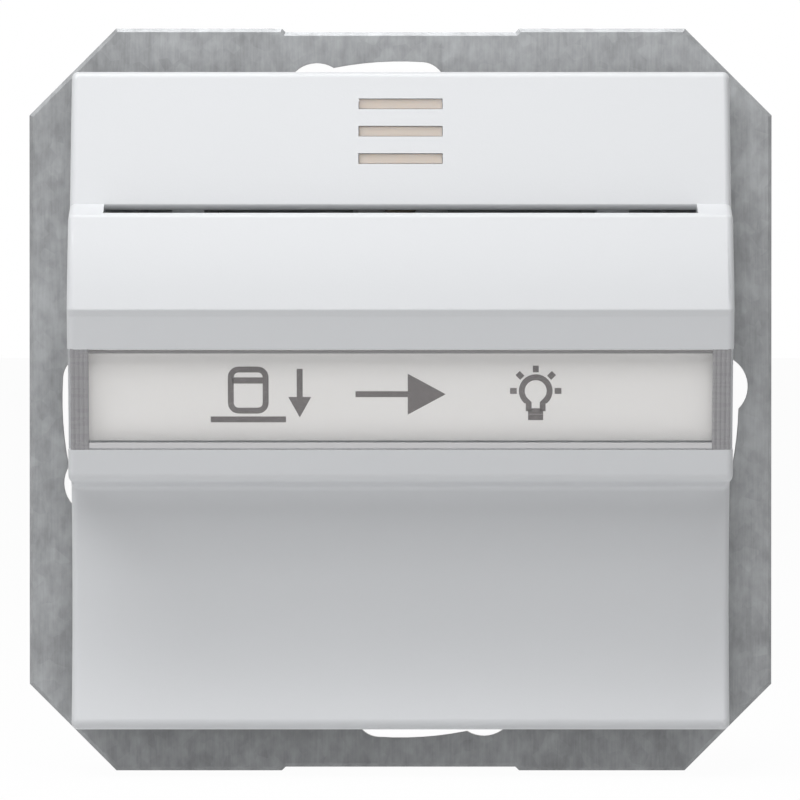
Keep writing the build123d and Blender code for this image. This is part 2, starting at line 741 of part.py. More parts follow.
def front_bridge():
    """Plate in front of the carrier, with sockets, plunger guide and hold-down blocks."""
    bridge = plate(RectangleRounded(BRIDGE_W, BRIDGE_H, BRIDGE_R), BRIDGE_FRONT, -FIELD_FRONT)
    plug_w = OPENING_W - 2 * BRIDGE_PLUG_CLEAR
    plug_h = OPENING_H - 2 * BRIDGE_PLUG_CLEAR
    bridge += plate(RectangleRounded(plug_w, plug_h, OPENING_R), FIELD_FRONT, -FIELD_BACK)
    bridge += plate(Pos(0, PLUNGER_Z) * Circle(GUIDE_BOSS_R), GUIDE_BOSS_FRONT, -BRIDGE_FRONT)
    socket_w = LEG_W + 2 * (LEG_CLEAR + SOCKET_WALL)
    hole_w = LEG_W + 2 * LEG_CLEAR
    for x, z in leg_places():
        bridge += block(x, z, socket_w, socket_w, SOCKET_TOP_FRONT, -FIELD_FRONT)
    for x, z in leg_places():
        bridge -= block(x, z, hole_w, hole_w, SOCKET_TOP_FRONT + CUT, -FIELD_FRONT + CUT)
    down_w = POCKET_W - 2 * CAGE_CLEAR
    down_h = POCKET_H - 2 * CAGE_CLEAR
    for x, z in pocket_places():
        bridge += block(x, z, down_w, down_h, FIELD_FRONT, CAGE_FRONT_Y - CAGE_CLEAR)
    bridge -= pin_y(PLUNGER_R + PLUNGER_CLEAR, 0, PLUNGER_Z, -GUIDE_BOSS_FRONT - CUT, CUT)
    for x in (-CLAW_SCREW_X, CLAW_SCREW_X):
        bridge -= pin_y(HEAD_NOTCH_R, x, 0, -BRIDGE_FRONT - CUT, -FIELD_FRONT + CUT)
        outer = math.copysign(BRIDGE_W, x)
        bridge -= slab(x, outer, -BRIDGE_FRONT - CUT, -FIELD_FRONT + CUT,
                       -HEAD_NOTCH_R, HEAD_NOTCH_R)
    for x, z in screw_places():
        bridge -= pin_y(SCREW_R + SCREW_CLEAR, x, z, -BRIDGE_FRONT - CUT, CUT)
    for x in (-LAMP_PIN_X, LAMP_PIN_X):
        bridge -= lamp_pin_room(x)
    return bridge


def lamp_pin_room(x):
    width = LAMP_PIN_W + 2 * LAMP_PIN_CLEAR
    height = LAMP_PIN_T + 2 * LAMP_PIN_CLEAR
    return block(x, LAMP_Z, width, height, BRIDGE_FRONT + CUT, LAMP_PIN_BACK_Y + LAMP_PIN_CLEAR)


def pocket_places():
    return [(x, z) for x in (-POCKET_X, POCKET_X) for z in (-POCKET_Z, POCKET_Z)]


def bus_room(x0, x1, y0, z):
    """Passage for a contact strip through the wall of the contact chamber."""
    spare = BUS_CLEAR
    return slab(x0, x1, y0 - spare, y0 + BUS_T + spare, z - BUS_W / 2 - spare, z + BUS_W / 2 + spare)


def base_housing():
    """Moulded base: claw bays at the sides, chambers open to the front, wire entries behind."""
    outline = Rectangle(BASE_W, BASE_H) & Circle(BASE_R)
    base = plate(outline, FIELD_BACK, BASE_BACK_Y)
    back = base.faces().sort_by(Axis.Y)[-1]
    base = chamfer(back.edges(), BASE_EDGE)
    for side in (-1, 1):
        base -= slab(side * CLAW_BAY_X, side * BASE_W, -FIELD_FRONT, BASE_BACK_Y + CUT,
                     -CLAW_BAY_HALF, CLAW_BAY_HALF)
    floor_y = BASE_BACK_Y - BASE_FLOOR_T
    open_y = -FIELD_BACK - CUT
    base -= slab(-CHAMBER_HALF_W, CHAMBER_HALF_W, open_y, floor_y,
                 ARM_PIVOT_Z - CHAMBER_SPARE, RIVET_Z + CHAMBER_SPARE)
    web_z0, web_z1 = PLUNGER_Z - WEB_HALF_H, PLUNGER_Z + WEB_HALF_H
    base += slab(-CHAMBER_HALF_W, CHAMBER_HALF_W, WEB_FRONT_Y, WEB_FRONT_Y + WEB_T, web_z0, web_z1)
    base -= pin_y(STEM_R + PLUNGER_CLEAR, 0, PLUNGER_Z, 0, WEB_FRONT_Y + WEB_T + CUT)
    for x, z in pocket_places():
        base -= block(x, z, POCKET_W, POCKET_H, -open_y, floor_y)
        wire_x = math.copysign(WIRE_X, x)
        for height in (POCKET_Z - WIRE_SPREAD, POCKET_Z + WIRE_SPREAD):
            base -= pin_y(WIRE_HOLE_R, wire_x, math.copysign(height, z), floor_y - CUT,
                          BASE_BACK_Y + CUT)
    for side in (-1, 1):
        x = side * POCKET_X
        base -= block(x, 0, POCKET_W, BUTTON_BAY_H, -open_y, floor_y)
        hole_w, hole_h = BUTTON_W + 2 * BUTTON_CLEAR, BUTTON_H + 2 * BUTTON_CLEAR
        base -= block(x, 0, hole_w, hole_h, -floor_y + CUT, BASE_BACK_Y + CUT)
        bar_x = side * BUTTON_BAR_X
        bar_w = BUTTON_BAR_W + 2 * BUTTON_CLEAR
        bar_y = BUTTON_BAR_FRONT_Y - BUTTON_TRAVEL - BUTTON_STOP_GAP
        base -= slab(bar_x - bar_w / 2, bar_x + bar_w / 2, bar_y,
                     BUTTON_BAR_FRONT_Y + BUTTON_BAR_T + BUTTON_CLEAR,
                     -BUTTON_BAR_HALF, BUTTON_BAR_HALF)
        base += claw_ears(side)
    inner = POCKET_X - POCKET_W / 2 + CUT
    base -= bus_room(-inner, 0, common_bus_y(), ARM_PIVOT_Z)
    base -= bus_room(0, inner, make_bus_y(), RIVET_Z)
    base -= bus_room(-inner, 0, break_bus_y(), RIVET_Z)
    for x, z in screw_places():
        base -= pin_y(SCREW_R + THREAD_CLEAR, x, z, open_y, SCREW_END_Y + CUT)
    for x in (-LAMP_PIN_X, LAMP_PIN_X):
        base -= lamp_pin_room(x)
    return base


def claw_pivot_x():
    return CLAW_SCREW_X + CLAW_ARM


def claw_ears(side):
    """Two ears in the claw bay that hold the claw pin."""
    x = claw_pivot_x()
    low = CLAW_W / 2 + CLAW_EAR_CLEAR
    ear = pin_z(CLAW_KNUCKLE_R, x, CLAW_PIVOT_Y, low, low + CLAW_EAR_T)
    ear += slab(CLAW_BAY_X - CUT, x, CLAW_PIVOT_Y - CLAW_KNUCKLE_R, CLAW_PIVOT_Y + CLAW_KNUCKLE_R,
                low, low + CLAW_EAR_T)
    ear -= pin_z(PIN_R + THREAD_CLEAR, x, CLAW_PIVOT_Y, 0, low + CLAW_EAR_T + CUT)
    ears = ear + mirror(ear, about=Plane.XY)
    return ears if side > 0 else mirrored(ears)


def claw(side):
    """Bell crank of bent sheet: slotted lug on the screw, toothed arm towards the box wall."""
    x, y = claw_pivot_x(), CLAW_PIVOT_Y
    half_w, half_t = CLAW_W / 2, CLAW_T / 2
    swing = math.radians(CLAW_SWING_DEG)
    body = pin_z(CLAW_KNUCKLE_R, x, y, -half_w, half_w)
    body += slab(x - CLAW_LUG_END, x, y - half_t, y + half_t, -half_w, half_w)
    tip_y = y + CLAW_ARM_LENGTH
    bend_y = tip_y - CLAW_TIP_RUN
    outline = Polyline(
        (x - half_t, y), (x + half_t, y), (x + half_t, bend_y),
        (x + half_t + CLAW_TIP_OUT, tip_y), (x - half_t + CLAW_TIP_OUT, tip_y),
        (x - half_t, bend_y), close=True)
    body += extrude(Plane.XY.offset(-half_w) * make_face(outline), amount=CLAW_W, dir=(0, 0, 1))
    pitch = CLAW_W / CLAW_TEETH
    for step in range(1, CLAW_TEETH):
        z = -half_w + pitch * step
        notch = make_face(Polyline(
            (tip_y + CUT, z - pitch / 2), (tip_y - CLAW_TOOTH, z), (tip_y + CUT, z + pitch / 2),
            close=True))
        body -= across(notch, x - half_t - CUT, x + CLAW_TIP_OUT + CLAW_T)
    reach = CLAW_SCREW_R + CLAW_HOLE_CLEAR
    near = (CLAW_ARM - reach - half_t * math.sin(swing)) / math.cos(swing)
    far = (CLAW_ARM + reach) / math.cos(swing) + half_t * math.tan(swing)
    body -= slab(x - far, x - near, y - half_t - CUT, y + half_t + CUT, -reach, reach)
    body -= pin_z(PIN_R + PIN_CLEAR, x, y, -half_w - CUT, half_w + CUT)
    return body if side > 0 else mirrored(body)


def claw_pins():
    x = claw_pivot_x()
    half = CLAW_W / 2 + CLAW_EAR_CLEAR + CLAW_EAR_T
    pin = pin_z(PIN_R, x, CLAW_PIVOT_Y, -half, half)
    return [pin, mirrored(pin)]


def claw_screw(side):
    x = side * CLAW_SCREW_X
    seat_y = -FIELD_FRONT - HEAD_SEAT_GAP
    top_y = seat_y - CLAW_HEAD_H
    screw = pin_y(CLAW_HEAD_R, x, 0, top_y, seat_y)
    screw = chamfer(screw.faces().sort_by(Axis.Y)[0].edges(), CROSS_W / 2)
    screw += pin_y(CLAW_SCREW_R, x, 0, seat_y, CLAW_SCREW_END_Y)
    long = CLAW_HEAD_R
    for width, height in ((long, CROSS_W), (CROSS_W, long)):
        screw -= block(x, 0, width, height, -top_y + CUT, top_y + CROSS_DEPTH)
    return screw


def housing_screws():
    screws = []
    for x, z in screw_places():
        top_y = -BRIDGE_FRONT - SCREW_HEAD_H
        screw = pin_y(SCREW_HEAD_R, x, z, top_y, -BRIDGE_FRONT)
        screw += pin_y(SCREW_R, x, z, -BRIDGE_FRONT, SCREW_END_Y)
        screw -= block(x, z, 2 * SCREW_HEAD_R, CROSS_W, -top_y + CUT, top_y + CROSS_DEPTH)
        screws.append(screw)
    return screws


def plunger():
    """Push pin between the lever pad and the moving contact."""
    pad_front = LEVER_BACK_FRONT - LEVER_PAD_RISE
    collar_y = -FIELD_BACK + PLUNGER_GAP
    pin = pin_y(PLUNGER_R, 0, PLUNGER_Z, -(pad_front - PLUNGER_GAP), collar_y)
    pin += pin_y(COLLAR_R, 0, PLUNGER_Z, collar_y, collar_y + COLLAR_T)
    pin += pin_y(STEM_R, 0, PLUNGER_Z, collar_y + COLLAR_T, ARM_FRONT_Y - PLUNGER_GAP)
    tip = pin.faces().sort_by(Axis.Y)[-1].edges()
    return chamfer(tip, STEM_END_R / 2)


def plunger_spring():
    start = -FIELD_BACK + PLUNGER_GAP + COLLAR_T
    outer, inner = PRESSURE_SPRING_R + PRESSURE_SPRING_T / 2, PRESSURE_SPRING_R - PRESSURE_SPRING_T / 2
    body = pin_y(outer, 0, PLUNGER_Z, start, WEB_FRONT_Y)
    return body - pin_y(inner, 0, PLUNGER_Z, start - CUT, WEB_FRONT_Y + CUT)


def contact_arm():
    """Rocking strip with a rolled foot to rock on and a rivet at its tip."""
    half = ARM_W / 2
    arm = slab(-half, half, ARM_FRONT_Y, ARM_FRONT_Y + ARM_T, ARM_PIVOT_Z, RIVET_Z + RIVET_R)
    upright = arm.edges().filter_by(Axis.Y).group_by(Axis.Z)[-1]
    arm = fillet(upright, RIVET_R)
    arm += pin_x(ARM_BEAD_R, -half, half, ARM_FRONT_Y + ARM_T / 2, ARM_PIVOT_Z)
    return arm + pin_y(RIVET_R, 0, RIVET_Z, ARM_FRONT_Y - RIVET_H, ARM_FRONT_Y + ARM_T + RIVET_H)


def common_bus_y():
    return ARM_FRONT_Y + ARM_T + CONTACT_GAP + KNIFE_R


def break_bus_y():
    return ARM_FRONT_Y - RIVET_H - CONTACT_GAP - RIVET_H - BUS_T


def make_bus_y():
    swing = math.radians(ARM_SWING_DEG)
    reach = (RIVET_Z - ARM_PIVOT_Z) * math.sin(swing) + RIVET_R * math.sin(swing)
    return ARM_FRONT_Y + ARM_T + RIVET_H + reach + CONTACT_GAP + RIVET_H


def cage(x, z):
    """Terminal cage, open to the wires behind and to the release button beside it."""
    width, height = POCKET_W - 2 * CAGE_CLEAR, POCKET_H - 2 * CAGE_CLEAR
    box = slab(x - width / 2, x + width / 2, CAGE_FRONT_Y, CAGE_BACK_Y,
               z - height / 2, z + height / 2)
    outer_z = z + math.copysign(height / 2 - CAGE_T, z)
    inner_z = z - math.copysign(height / 2 + CUT, z)
    box -= slab(x - width / 2 + CAGE_T, x + width / 2 - CAGE_T, CAGE_FRONT_Y + CAGE_T,
                CAGE_BACK_Y + CUT, inner_z, outer_z)
    return box


def bus(side, y, z, reach):
    """Strip from a cage into the contact chamber."""
    cage_x = POCKET_X - POCKET_W / 2 + CAGE_CLEAR
    return slab(-side * reach, side * (cage_x + CAGE_T / 2), y, y + BUS_T, z - BUS_W / 2, z + BUS_W / 2)


def common_terminal():
    y = common_bus_y()
    body = cage(-POCKET_X, -POCKET_Z) + bus(-1, y, ARM_PIVOT_Z, ARM_W / 2)
    half = ARM_W / 2
    knife = pin_x(KNIFE_R, -half, half, y, ARM_PIVOT_Z)
    return body + (knife & slab(-half, half, y - KNIFE_R, y, ARM_PIVOT_Z - KNIFE_R,
                                ARM_PIVOT_Z + KNIFE_R))


def make_terminal():
    y = make_bus_y()
    body = cage(POCKET_X, POCKET_Z) + bus(1, y, RIVET_Z, ARM_W / 2)
    return body + pin_y(RIVET_R, 0, RIVET_Z, y - RIVET_H, y)


def break_terminal():
    y = break_bus_y()
    body = cage(-POCKET_X, POCKET_Z) + bus(-1, y, RIVET_Z, ARM_W / 2)
    return body + pin_y(RIVET_R, 0, RIVET_Z, y + BUS_T, y + BUS_T + RIVET_H)


def lamp_terminal():
    return cage(POCKET_X, -POCKET_Z)


def clamp_springs(side):
    """Bent leaves, one in each cage of a side, that press the wires to the cage wall."""
    outer = POCKET_X + POCKET_W / 2 - CAGE_CLEAR - CAGE_T - CAGE_CLEAR
    points = [
        (outer, CLAMP_TIP_Y), (outer, CLAMP_FOOT_Y), (outer - CLAMP_TIP_RUN, CLAMP_TIP_Y),
        (outer - CLAMP_TIP_RUN + CLAMP_T, CLAMP_TIP_Y),
        (outer - CLAMP_T, CLAMP_FOOT_Y + CLAMP_T * CLAMP_TIP_RUN),
        (outer - CLAMP_T, CLAMP_TIP_Y),
    ]
    leaf = make_face(Polyline(points, close=True))
    leaves = []
    for z in (-POCKET_Z, POCKET_Z):
        solid = extrude(Plane.XY.offset(z - CLAMP_W / 2) * leaf, amount=CLAMP_W, dir=(0, 0, 1))
        leaves.append(solid if side > 0 else mirrored(solid))
    return leaves


def release_button(side):
    """Push button behind the base that opens the clamp springs on its side."""
    x = side * POCKET_X
    back_y = BASE_BACK_Y + BUTTON_STAND
    stem = slab(x - BUTTON_W / 2, x + BUTTON_W / 2, back_y - BUTTON_LENGTH, back_y,
                -BUTTON_H / 2, BUTTON_H / 2)
    stem = chamfer(stem.faces().sort_by(Axis.Y)[-1].edges(), BUTTON_RIB_H)
    flange_y = BASE_BACK_Y - BASE_FLOOR_T - BUTTON_STOP_GAP
    stem += slab(x - BUTTON_FLANGE_W / 2, x + BUTTON_FLANGE_W / 2,
                 flange_y - BUTTON_FLANGE_T, flange_y, -BUTTON_H / 2, BUTTON_H / 2)
    bar_x = side * BUTTON_BAR_X
    half = BUTTON_BAR_HALF - BUTTON_CLEAR
    stem += slab(bar_x - BUTTON_BAR_W / 2, bar_x + BUTTON_BAR_W / 2, BUTTON_BAR_FRONT_Y,
                 BUTTON_BAR_FRONT_Y + BUTTON_BAR_T, -half, half)
    return stem


def lamp_holder():
    block_body = block(0, LAMP_Z, HOLDER_W, HOLDER_H, HOLDER_FRONT, -BRIDGE_FRONT)
    front = block_body.faces().sort_by(Axis.Y)[0]
    block_body = chamfer(front.edges(), HOLDER_EDGE)
    block_body -= pin_y(LAMP_R + LAMP_CLEAR, 0, LAMP_Z, -HOLDER_FRONT - CUT, -LAMP_TAIL_FRONT)
    for x in (-LAMP_PIN_X, LAMP_PIN_X):
        block_body -= lamp_pin_room(x)
    return block_body


def glow_lamp():
    body = pin_y(LAMP_R, 0, LAMP_Z, -LAMP_FRONT, -LAMP_TAIL_FRONT)
    return chamfer(body.faces().sort_by(Axis.Y)[0].edges(), LAMP_R / 2)


def lamp_contacts():
    pins = []
    for x in (-LAMP_PIN_X, LAMP_PIN_X):
        pins.append(block(x, LAMP_Z, LAMP_PIN_W, LAMP_PIN_T, BRIDGE_FRONT + CUT / 2, LAMP_PIN_BACK_Y))
    return pins


PIECES = {
    "carrier_ring": carrier_ring,
    "front_bridge": front_bridge,
    "base_housing": base_housing,
    "housing_screws": housing_screws,
    "cover_plate": cover_plate,
    "label_window": label_window,
    "label_strip": label_strip,
    "lamp_diffuser": lamp_diffuser,
    "card_guide": card_guide,
    "card_lever": card_lever,
    "lever_pin": lever_pin,
    "lever_spring": lever_spring,
    "plunger": plunger,
    "plunger_spring": plunger_spring,
    "contact_arm": contact_arm,
    "common_terminal": common_terminal,
    "make_terminal": make_terminal,
    "break_terminal": break_terminal,
    "lamp_terminal": lamp_terminal,
    "clamp_springs_left": lambda: clamp_springs(-1),
    "clamp_springs_right": lambda: clamp_springs(1),
    "release_button_left": lambda: release_button(-1),
    "release_button_right": lambda: release_button(1),
    "claw_left": lambda: claw(-1),
    "claw_right": lambda: claw(1),
    "claw_pins": claw_pins,
    "claw_screw_left": lambda: claw_screw(-1),
    "claw_screw_right": lambda: claw_screw(1),
    "lamp_holder": lamp_holder,
    "glow_lamp": glow_lamp,
    "lamp_contacts": lamp_contacts,
}

os.makedirs("parts", exist_ok=True)
for name, make in PIECES.items():
    made = make()
    if isinstance(made, list):
        made = Compound(children=[solid for piece in made for solid in piece.solids()])
    export_step(made, f"parts/{name}.step")
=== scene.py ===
"""Looks of a key card switch: its finishes, printed label, springs, threads and a small photo studio.

The file is laid out like a Blender add-on and is run as a script. Lengths are metres in the switch's own
frame: +Z up, +X to the right, the front faces -Y, and the carrier's back lies in the plane Y = 0.
"""

import json
import math

import bpy
import numpy as np
from bpy.props import FloatProperty, FloatVectorProperty, IntProperty, PointerProperty
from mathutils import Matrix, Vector


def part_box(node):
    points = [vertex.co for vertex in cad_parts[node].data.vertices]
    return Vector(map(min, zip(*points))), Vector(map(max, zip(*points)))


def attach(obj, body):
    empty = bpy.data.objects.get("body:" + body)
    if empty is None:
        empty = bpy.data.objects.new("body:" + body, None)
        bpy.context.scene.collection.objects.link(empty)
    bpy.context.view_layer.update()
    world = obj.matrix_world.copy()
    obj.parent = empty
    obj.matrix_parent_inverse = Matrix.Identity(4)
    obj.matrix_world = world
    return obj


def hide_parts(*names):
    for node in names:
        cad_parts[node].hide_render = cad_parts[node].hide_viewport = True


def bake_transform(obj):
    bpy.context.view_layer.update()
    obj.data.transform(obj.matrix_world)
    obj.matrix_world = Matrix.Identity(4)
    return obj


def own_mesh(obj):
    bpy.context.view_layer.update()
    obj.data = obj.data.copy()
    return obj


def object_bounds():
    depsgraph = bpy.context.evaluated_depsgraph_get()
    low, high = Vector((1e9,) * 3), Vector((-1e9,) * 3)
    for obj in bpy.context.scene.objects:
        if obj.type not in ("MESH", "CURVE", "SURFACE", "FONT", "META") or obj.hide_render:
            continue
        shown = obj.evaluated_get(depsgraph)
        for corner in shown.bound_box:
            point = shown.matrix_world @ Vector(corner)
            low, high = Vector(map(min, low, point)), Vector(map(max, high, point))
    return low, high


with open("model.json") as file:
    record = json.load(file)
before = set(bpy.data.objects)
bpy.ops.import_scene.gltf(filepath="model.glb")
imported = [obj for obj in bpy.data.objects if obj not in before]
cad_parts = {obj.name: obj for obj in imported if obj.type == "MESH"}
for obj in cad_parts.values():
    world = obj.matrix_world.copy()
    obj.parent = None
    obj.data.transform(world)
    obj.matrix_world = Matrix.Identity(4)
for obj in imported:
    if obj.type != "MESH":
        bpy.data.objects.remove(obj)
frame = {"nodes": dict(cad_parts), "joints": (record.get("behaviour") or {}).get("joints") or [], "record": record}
cad_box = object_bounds()

bl_info = {
    "name": "Key Card Switch Looks",
    "version": (1, 0, 0),
    "blender": (4, 5, 0),
    "location": "3D View > Sidebar > Key Switch",
    "description": "Finishes, label, springs, threads and studio for a key card switch",
    "category": "Object",
}

MM = 0.001
LEFT_RIGHT = ("left", "right")
ACROSS = np.array((1.0, 0.0, 0.0))
BACKWARD = np.array((0.0, 1.0, 0.0))
UPWARD = np.array((0.0, 0.0, 1.0))

# Symbols along the label, in millimetres from its middle
CARD_X, CARD_ARROW_X, CARD_ARROW_Y, CARD_ARROW_LENGTH = -14.2, -9.4, 0.1, 4.6
FLOW_ARROW_LENGTH, LAMP_X = 8.4, 12.6
POINTS_RIGHT, POINTS_DOWN = 0.0, -90.0

WIRE_SIDES = 10
SMOOTH_BELOW_DEG = 35.0
THREAD_START, THREAD_CORE, THREAD_END_GAP = 1.6 * MM, 1.5 * MM, 0.1 * MM
THREAD_SIDES, THREAD_ROWS_PER_PITCH = 32, 10
LEG_BEND = 2.0 * MM

# Where the photograph's middle falls on the wall plane, and the places of the lights
PHOTO_MIDDLE = Vector((-0.05, 0.0, -0.04)) * MM
KEY_PLACE, TOP_PLACE, FRONT_PLACE = (-0.3, -0.25, 0.5), (-0.05, -0.11, 0.6), (0.0, -0.5, 0.4)
FLOOR_HALF, FLOOR_DROP = 12.0, 0.05 * MM


class Value:
    """One output in a material's nodes, on which ordinary arithmetic adds Math nodes."""

    def __init__(self, recipe, socket):
        self.recipe = recipe
        self.socket = socket

    def _math(self, operation, first, second):
        return self.recipe.add("ShaderNodeMath", {"operation": operation}, {0: first, 1: second})

    def __add__(self, other):
        return self._math("ADD", self, other)

    def __radd__(self, other):
        return self._math("ADD", other, self)

    def __sub__(self, other):
        return self._math("SUBTRACT", self, other)

    def __rsub__(self, other):
        return self._math("SUBTRACT", other, self)

    def __mul__(self, other):
        return self._math("MULTIPLY", self, other)

    def __rmul__(self, other):
        return self._math("MULTIPLY", other, self)

    def either(self, other):
        """The larger of two masks."""
        return self._math("MAXIMUM", self, other)


class Recipe:
    """A node tree of a material, the world or a light, built with short calls."""

    def __init__(self, owner):
        owner.use_nodes = True
        self.owner = owner
        self.tree = owner.node_tree
        self.surface = self.tree.nodes.get("Principled BSDF")

    def add(self, kind, settings, inputs, output=0):
        """Adds one node: its settings first, then the values or links of its sockets."""
        node = self.tree.nodes.new(kind)
        for key, value in settings.items():
            if key == "stops":
                self._set_stops(node.color_ramp, value)
            else:
                setattr(node, key, value)
        for key, value in inputs.items():
            self.plug(node.inputs[key], value)
        return Value(self, node.outputs[output])

    def plug(self, socket, value):
        """Links a Value to a socket, or sets the socket to a number or colour."""
        if isinstance(value, Value):
            self.tree.links.new(value.socket, socket)
        elif hasattr(value, "__len__") and len(value) == 3 and len(socket.default_value) == 4:
            socket.default_value = (*value, 1.0)
        else:
            socket.default_value = value

    def _set_stops(self, ramp, stops):
        for element, (place, level) in zip(ramp.elements, stops):
            element.position = place
            element.color = (level, level, level, 1.0)

    def feed(self, **sockets):
        """Feeds the Principled surface; base_color stands for the socket Base Color."""
        for key, value in sockets.items():
            self.plug(self.surface.inputs[key.replace("_", " ").title()], value)

    def place(self, stretch=(1.0, 1.0, 1.0)):
        """The point on the piece, in metres, with each axis squeezed by stretch."""
        here = self.add("ShaderNodeTexCoord", {}, {}, "Object")
        return self.add("ShaderNodeMapping", {}, {"Vector": here, "Scale": stretch})

    def noise(self, size, detail=2.0, stretch=(1.0, 1.0, 1.0)):
        """Soft clouds from 0 to 1, with features about size metres across."""
        settings = {"Vector": self.place(stretch), "Scale": 1.0 / size, "Detail": detail}
        return self.add("ShaderNodeTexNoise", {}, settings)

    def cells(self, size, stretch=(1.0, 1.0, 1.0)):
        """Patches of even tone from 0 to 1, about size metres across, like zinc crystals."""
        settings = {"Vector": self.place(stretch), "Scale": 1.0 / size}
        colour = self.add("ShaderNodeTexVoronoi", {}, settings, "Color")
        return self.add("ShaderNodeSeparateColor", {}, {"Color": colour})

    def ramp(self, value, low, high):
        """0 below low, 1 above high, and a straight ramp between them."""
        stops = ((low, 0.0), (high, 1.0))
        return self.add("ShaderNodeValToRGB", {"stops": stops}, {"Fac": value})

    def tint(self, mask, dark, light):
        """A colour from dark, where the mask is 0, to light, where it is 1."""
        return self.add("ShaderNodeMix", {"data_type": "RGBA"}, {0: mask, 6: dark, 7: light}, 2)

    def bump(self, height, strength, depth):
        """The normal of a surface that height raises by up to depth metres."""
        inputs = {"Height": height, "Strength": strength, "Distance": depth}
        return self.add("ShaderNodeBump", {}, inputs)


def scaled(colour, share):
    """A colour with each channel times share."""
    return tuple(channel * share for channel in colour)


def new_finish(name):
    return Recipe(bpy.data.materials.new(name))


def dress(material, *nodes):
    """Puts a material on the slots of CAD nodes, whose meshes stay as they are."""
    for name in nodes:
        for material_slot in frame["nodes"][name].material_slots:
            material_slot.material = material


def rolled_zinc(look):
    """Dull zinc-plated sheet: clouds, small spots, faint crystals and fine rolling lines."""
    finish = new_finish("rolled_zinc")
    clouds = finish.noise(look.cloud_size, detail=5.0)
    mottle = finish.noise(look.mottle_size, detail=4.0, stretch=(1.0, 1.0, 0.6))
    crystals = finish.cells(look.crystal_size)
    lines = finish.noise(look.line_size, stretch=(1.0, 1.0, look.line_stretch))
    tone = clouds * 0.4 + mottle * 0.38 + crystals * 0.07 + lines * 0.15
    scuffs = finish.ramp(finish.noise(look.cloud_size, detail=8.0, stretch=(0.5, 1.0, 2.0)), 0.62, 0.7)
    spread = finish.ramp(tone, 0.34, 0.66)
    dark, light = scaled(look.zinc_colour, 0.74), scaled(look.zinc_colour, 1.26)
    finish.feed(base_color=finish.tint(spread, dark, light))
    finish.feed(metallic=look.zinc_metal)
    finish.feed(roughness=look.zinc_roughness + 0.14 * clouds - 0.08 * scuffs)
    finish.feed(normal=finish.bump(lines * 0.4 + clouds + mottle, 0.4, look.zinc_bump))
    return finish.owner


def bright_metal(name, colour, look, roughness):
    """Plated or bare metal with fine turning lines, a little tarnish and a varied gloss."""
    finish = new_finish(name)
    lines = finish.noise(look.line_size, stretch=(1.0, look.line_stretch, 1.0))
    tarnish = finish.noise(look.tarnish_size, detail=5.0)
    tone = tarnish * 0.6 + lines * 0.4
    finish.feed(base_color=finish.tint(tone, scaled(colour, 0.78), scaled(colour, 1.06)), metallic=1.0)
    finish.feed(roughness=roughness + 0.18 * tarnish)
    finish.feed(normal=finish.bump(lines, 0.3, look.metal_bump))
    return finish.owner


def moulded(name, colour, look, roughness, grain=1.0):
    """Injection-moulded plastic: faint flow clouds, a spark-eroded grain and a soft gloss."""
    finish = new_finish(name)
    flow = finish.noise(look.flow_size, detail=3.0)
    texture = finish.noise(look.grain_size, detail=3.0)
    pits = finish.cells(look.grain_size * 1.6)
    finish.feed(base_color=finish.tint(flow, scaled(colour, 0.975), colour))
    finish.feed(roughness=roughness + 0.1 * flow + 0.06 * texture)
    finish.feed(normal=finish.bump(texture + pits * 0.4, 0.4 * grain, look.grain_depth))
    return finish.owner


def clear_plastic(name, colour, look, low, high, roughness):
    """Clear plastic as a see-through skin, from alpha low where it is faced to high at its edges."""
    finish = new_finish(name)
    edge = finish.add("ShaderNodeLayerWeight", {}, {"Blend": 0.35}, "Facing")
    scratches = finish.noise(look.grain_size * 2.0, detail=2.0, stretch=(0.1, 1.0, 1.0))
    finish.feed(base_color=colour, alpha=low + (high - low) * edge)
    finish.feed(roughness=roughness + 0.05 * scratches)
    finish.feed(normal=finish.bump(scratches, 0.1, look.grain_depth))
    return finish.owner


def plain_paper(name, look):
    """Card stock: short fibres, a cloudy formation and no gloss."""
    finish = new_finish(name)
    fibres = finish.noise(look.fibre_size, detail=4.0, stretch=(0.35, 1.0, 1.0))
    clouds = finish.noise(look.cloud_size, detail=3.0)
    tone = fibres * 0.5 + clouds * 0.5
    finish.feed(base_color=finish.tint(tone, scaled(look.paper_colour, 0.97), look.paper_colour))
    finish.feed(roughness=0.8 + 0.1 * fibres)
    finish.feed(normal=finish.bump(fibres, 0.25, look.fibre_depth))
    return finish.owner


def printed_ink(name, look):
    """Printed ink: dark grey, slightly uneven where the paper's fibres took less of it."""
    finish = new_finish(name)
    fibres = finish.noise(look.fibre_size, detail=4.0, stretch=(0.35, 1.0, 1.0))
    thin = finish.ramp(fibres, 0.5, 0.75)
    finish.feed(base_color=finish.tint(thin, look.ink_colour, scaled(look.ink_colour, 1.35)))
    finish.feed(roughness=0.6 + 0.15 * fibres)
    return finish.owner


def glowing_cream(name, colour, look):
    """Milky diffuser plastic: light goes into it, and its clouds show faintly."""
    finish = new_finish(name)
    flow = finish.noise(look.flow_size * 0.3, detail=3.0)
    finish.feed(base_color=finish.tint(flow, scaled(colour, 0.94), colour))
    finish.feed(subsurface_weight=0.4, subsurface_radius=(0.002, 0.0014, 0.001), subsurface_scale=1.0)
    finish.feed(roughness=0.42 + 0.1 * flow)
    finish.feed(normal=finish.bump(flow, 0.1, look.grain_depth))
    return finish.owner


def lamp_glass(name, colour):
    """Thin lamp glass with a warm tint that is denser at its edges."""
    finish = new_finish(name)
    edge = finish.add("ShaderNodeLayerWeight", {}, {"Blend": 0.4}, "Facing")
    haze = finish.noise(0.002, detail=2.0)
    finish.feed(base_color=finish.tint(haze, scaled(colour, 0.9), colour), alpha=0.2 + 0.6 * edge)
    finish.feed(roughness=0.04 + 0.05 * haze, coat_weight=0.5)
    return finish.owner


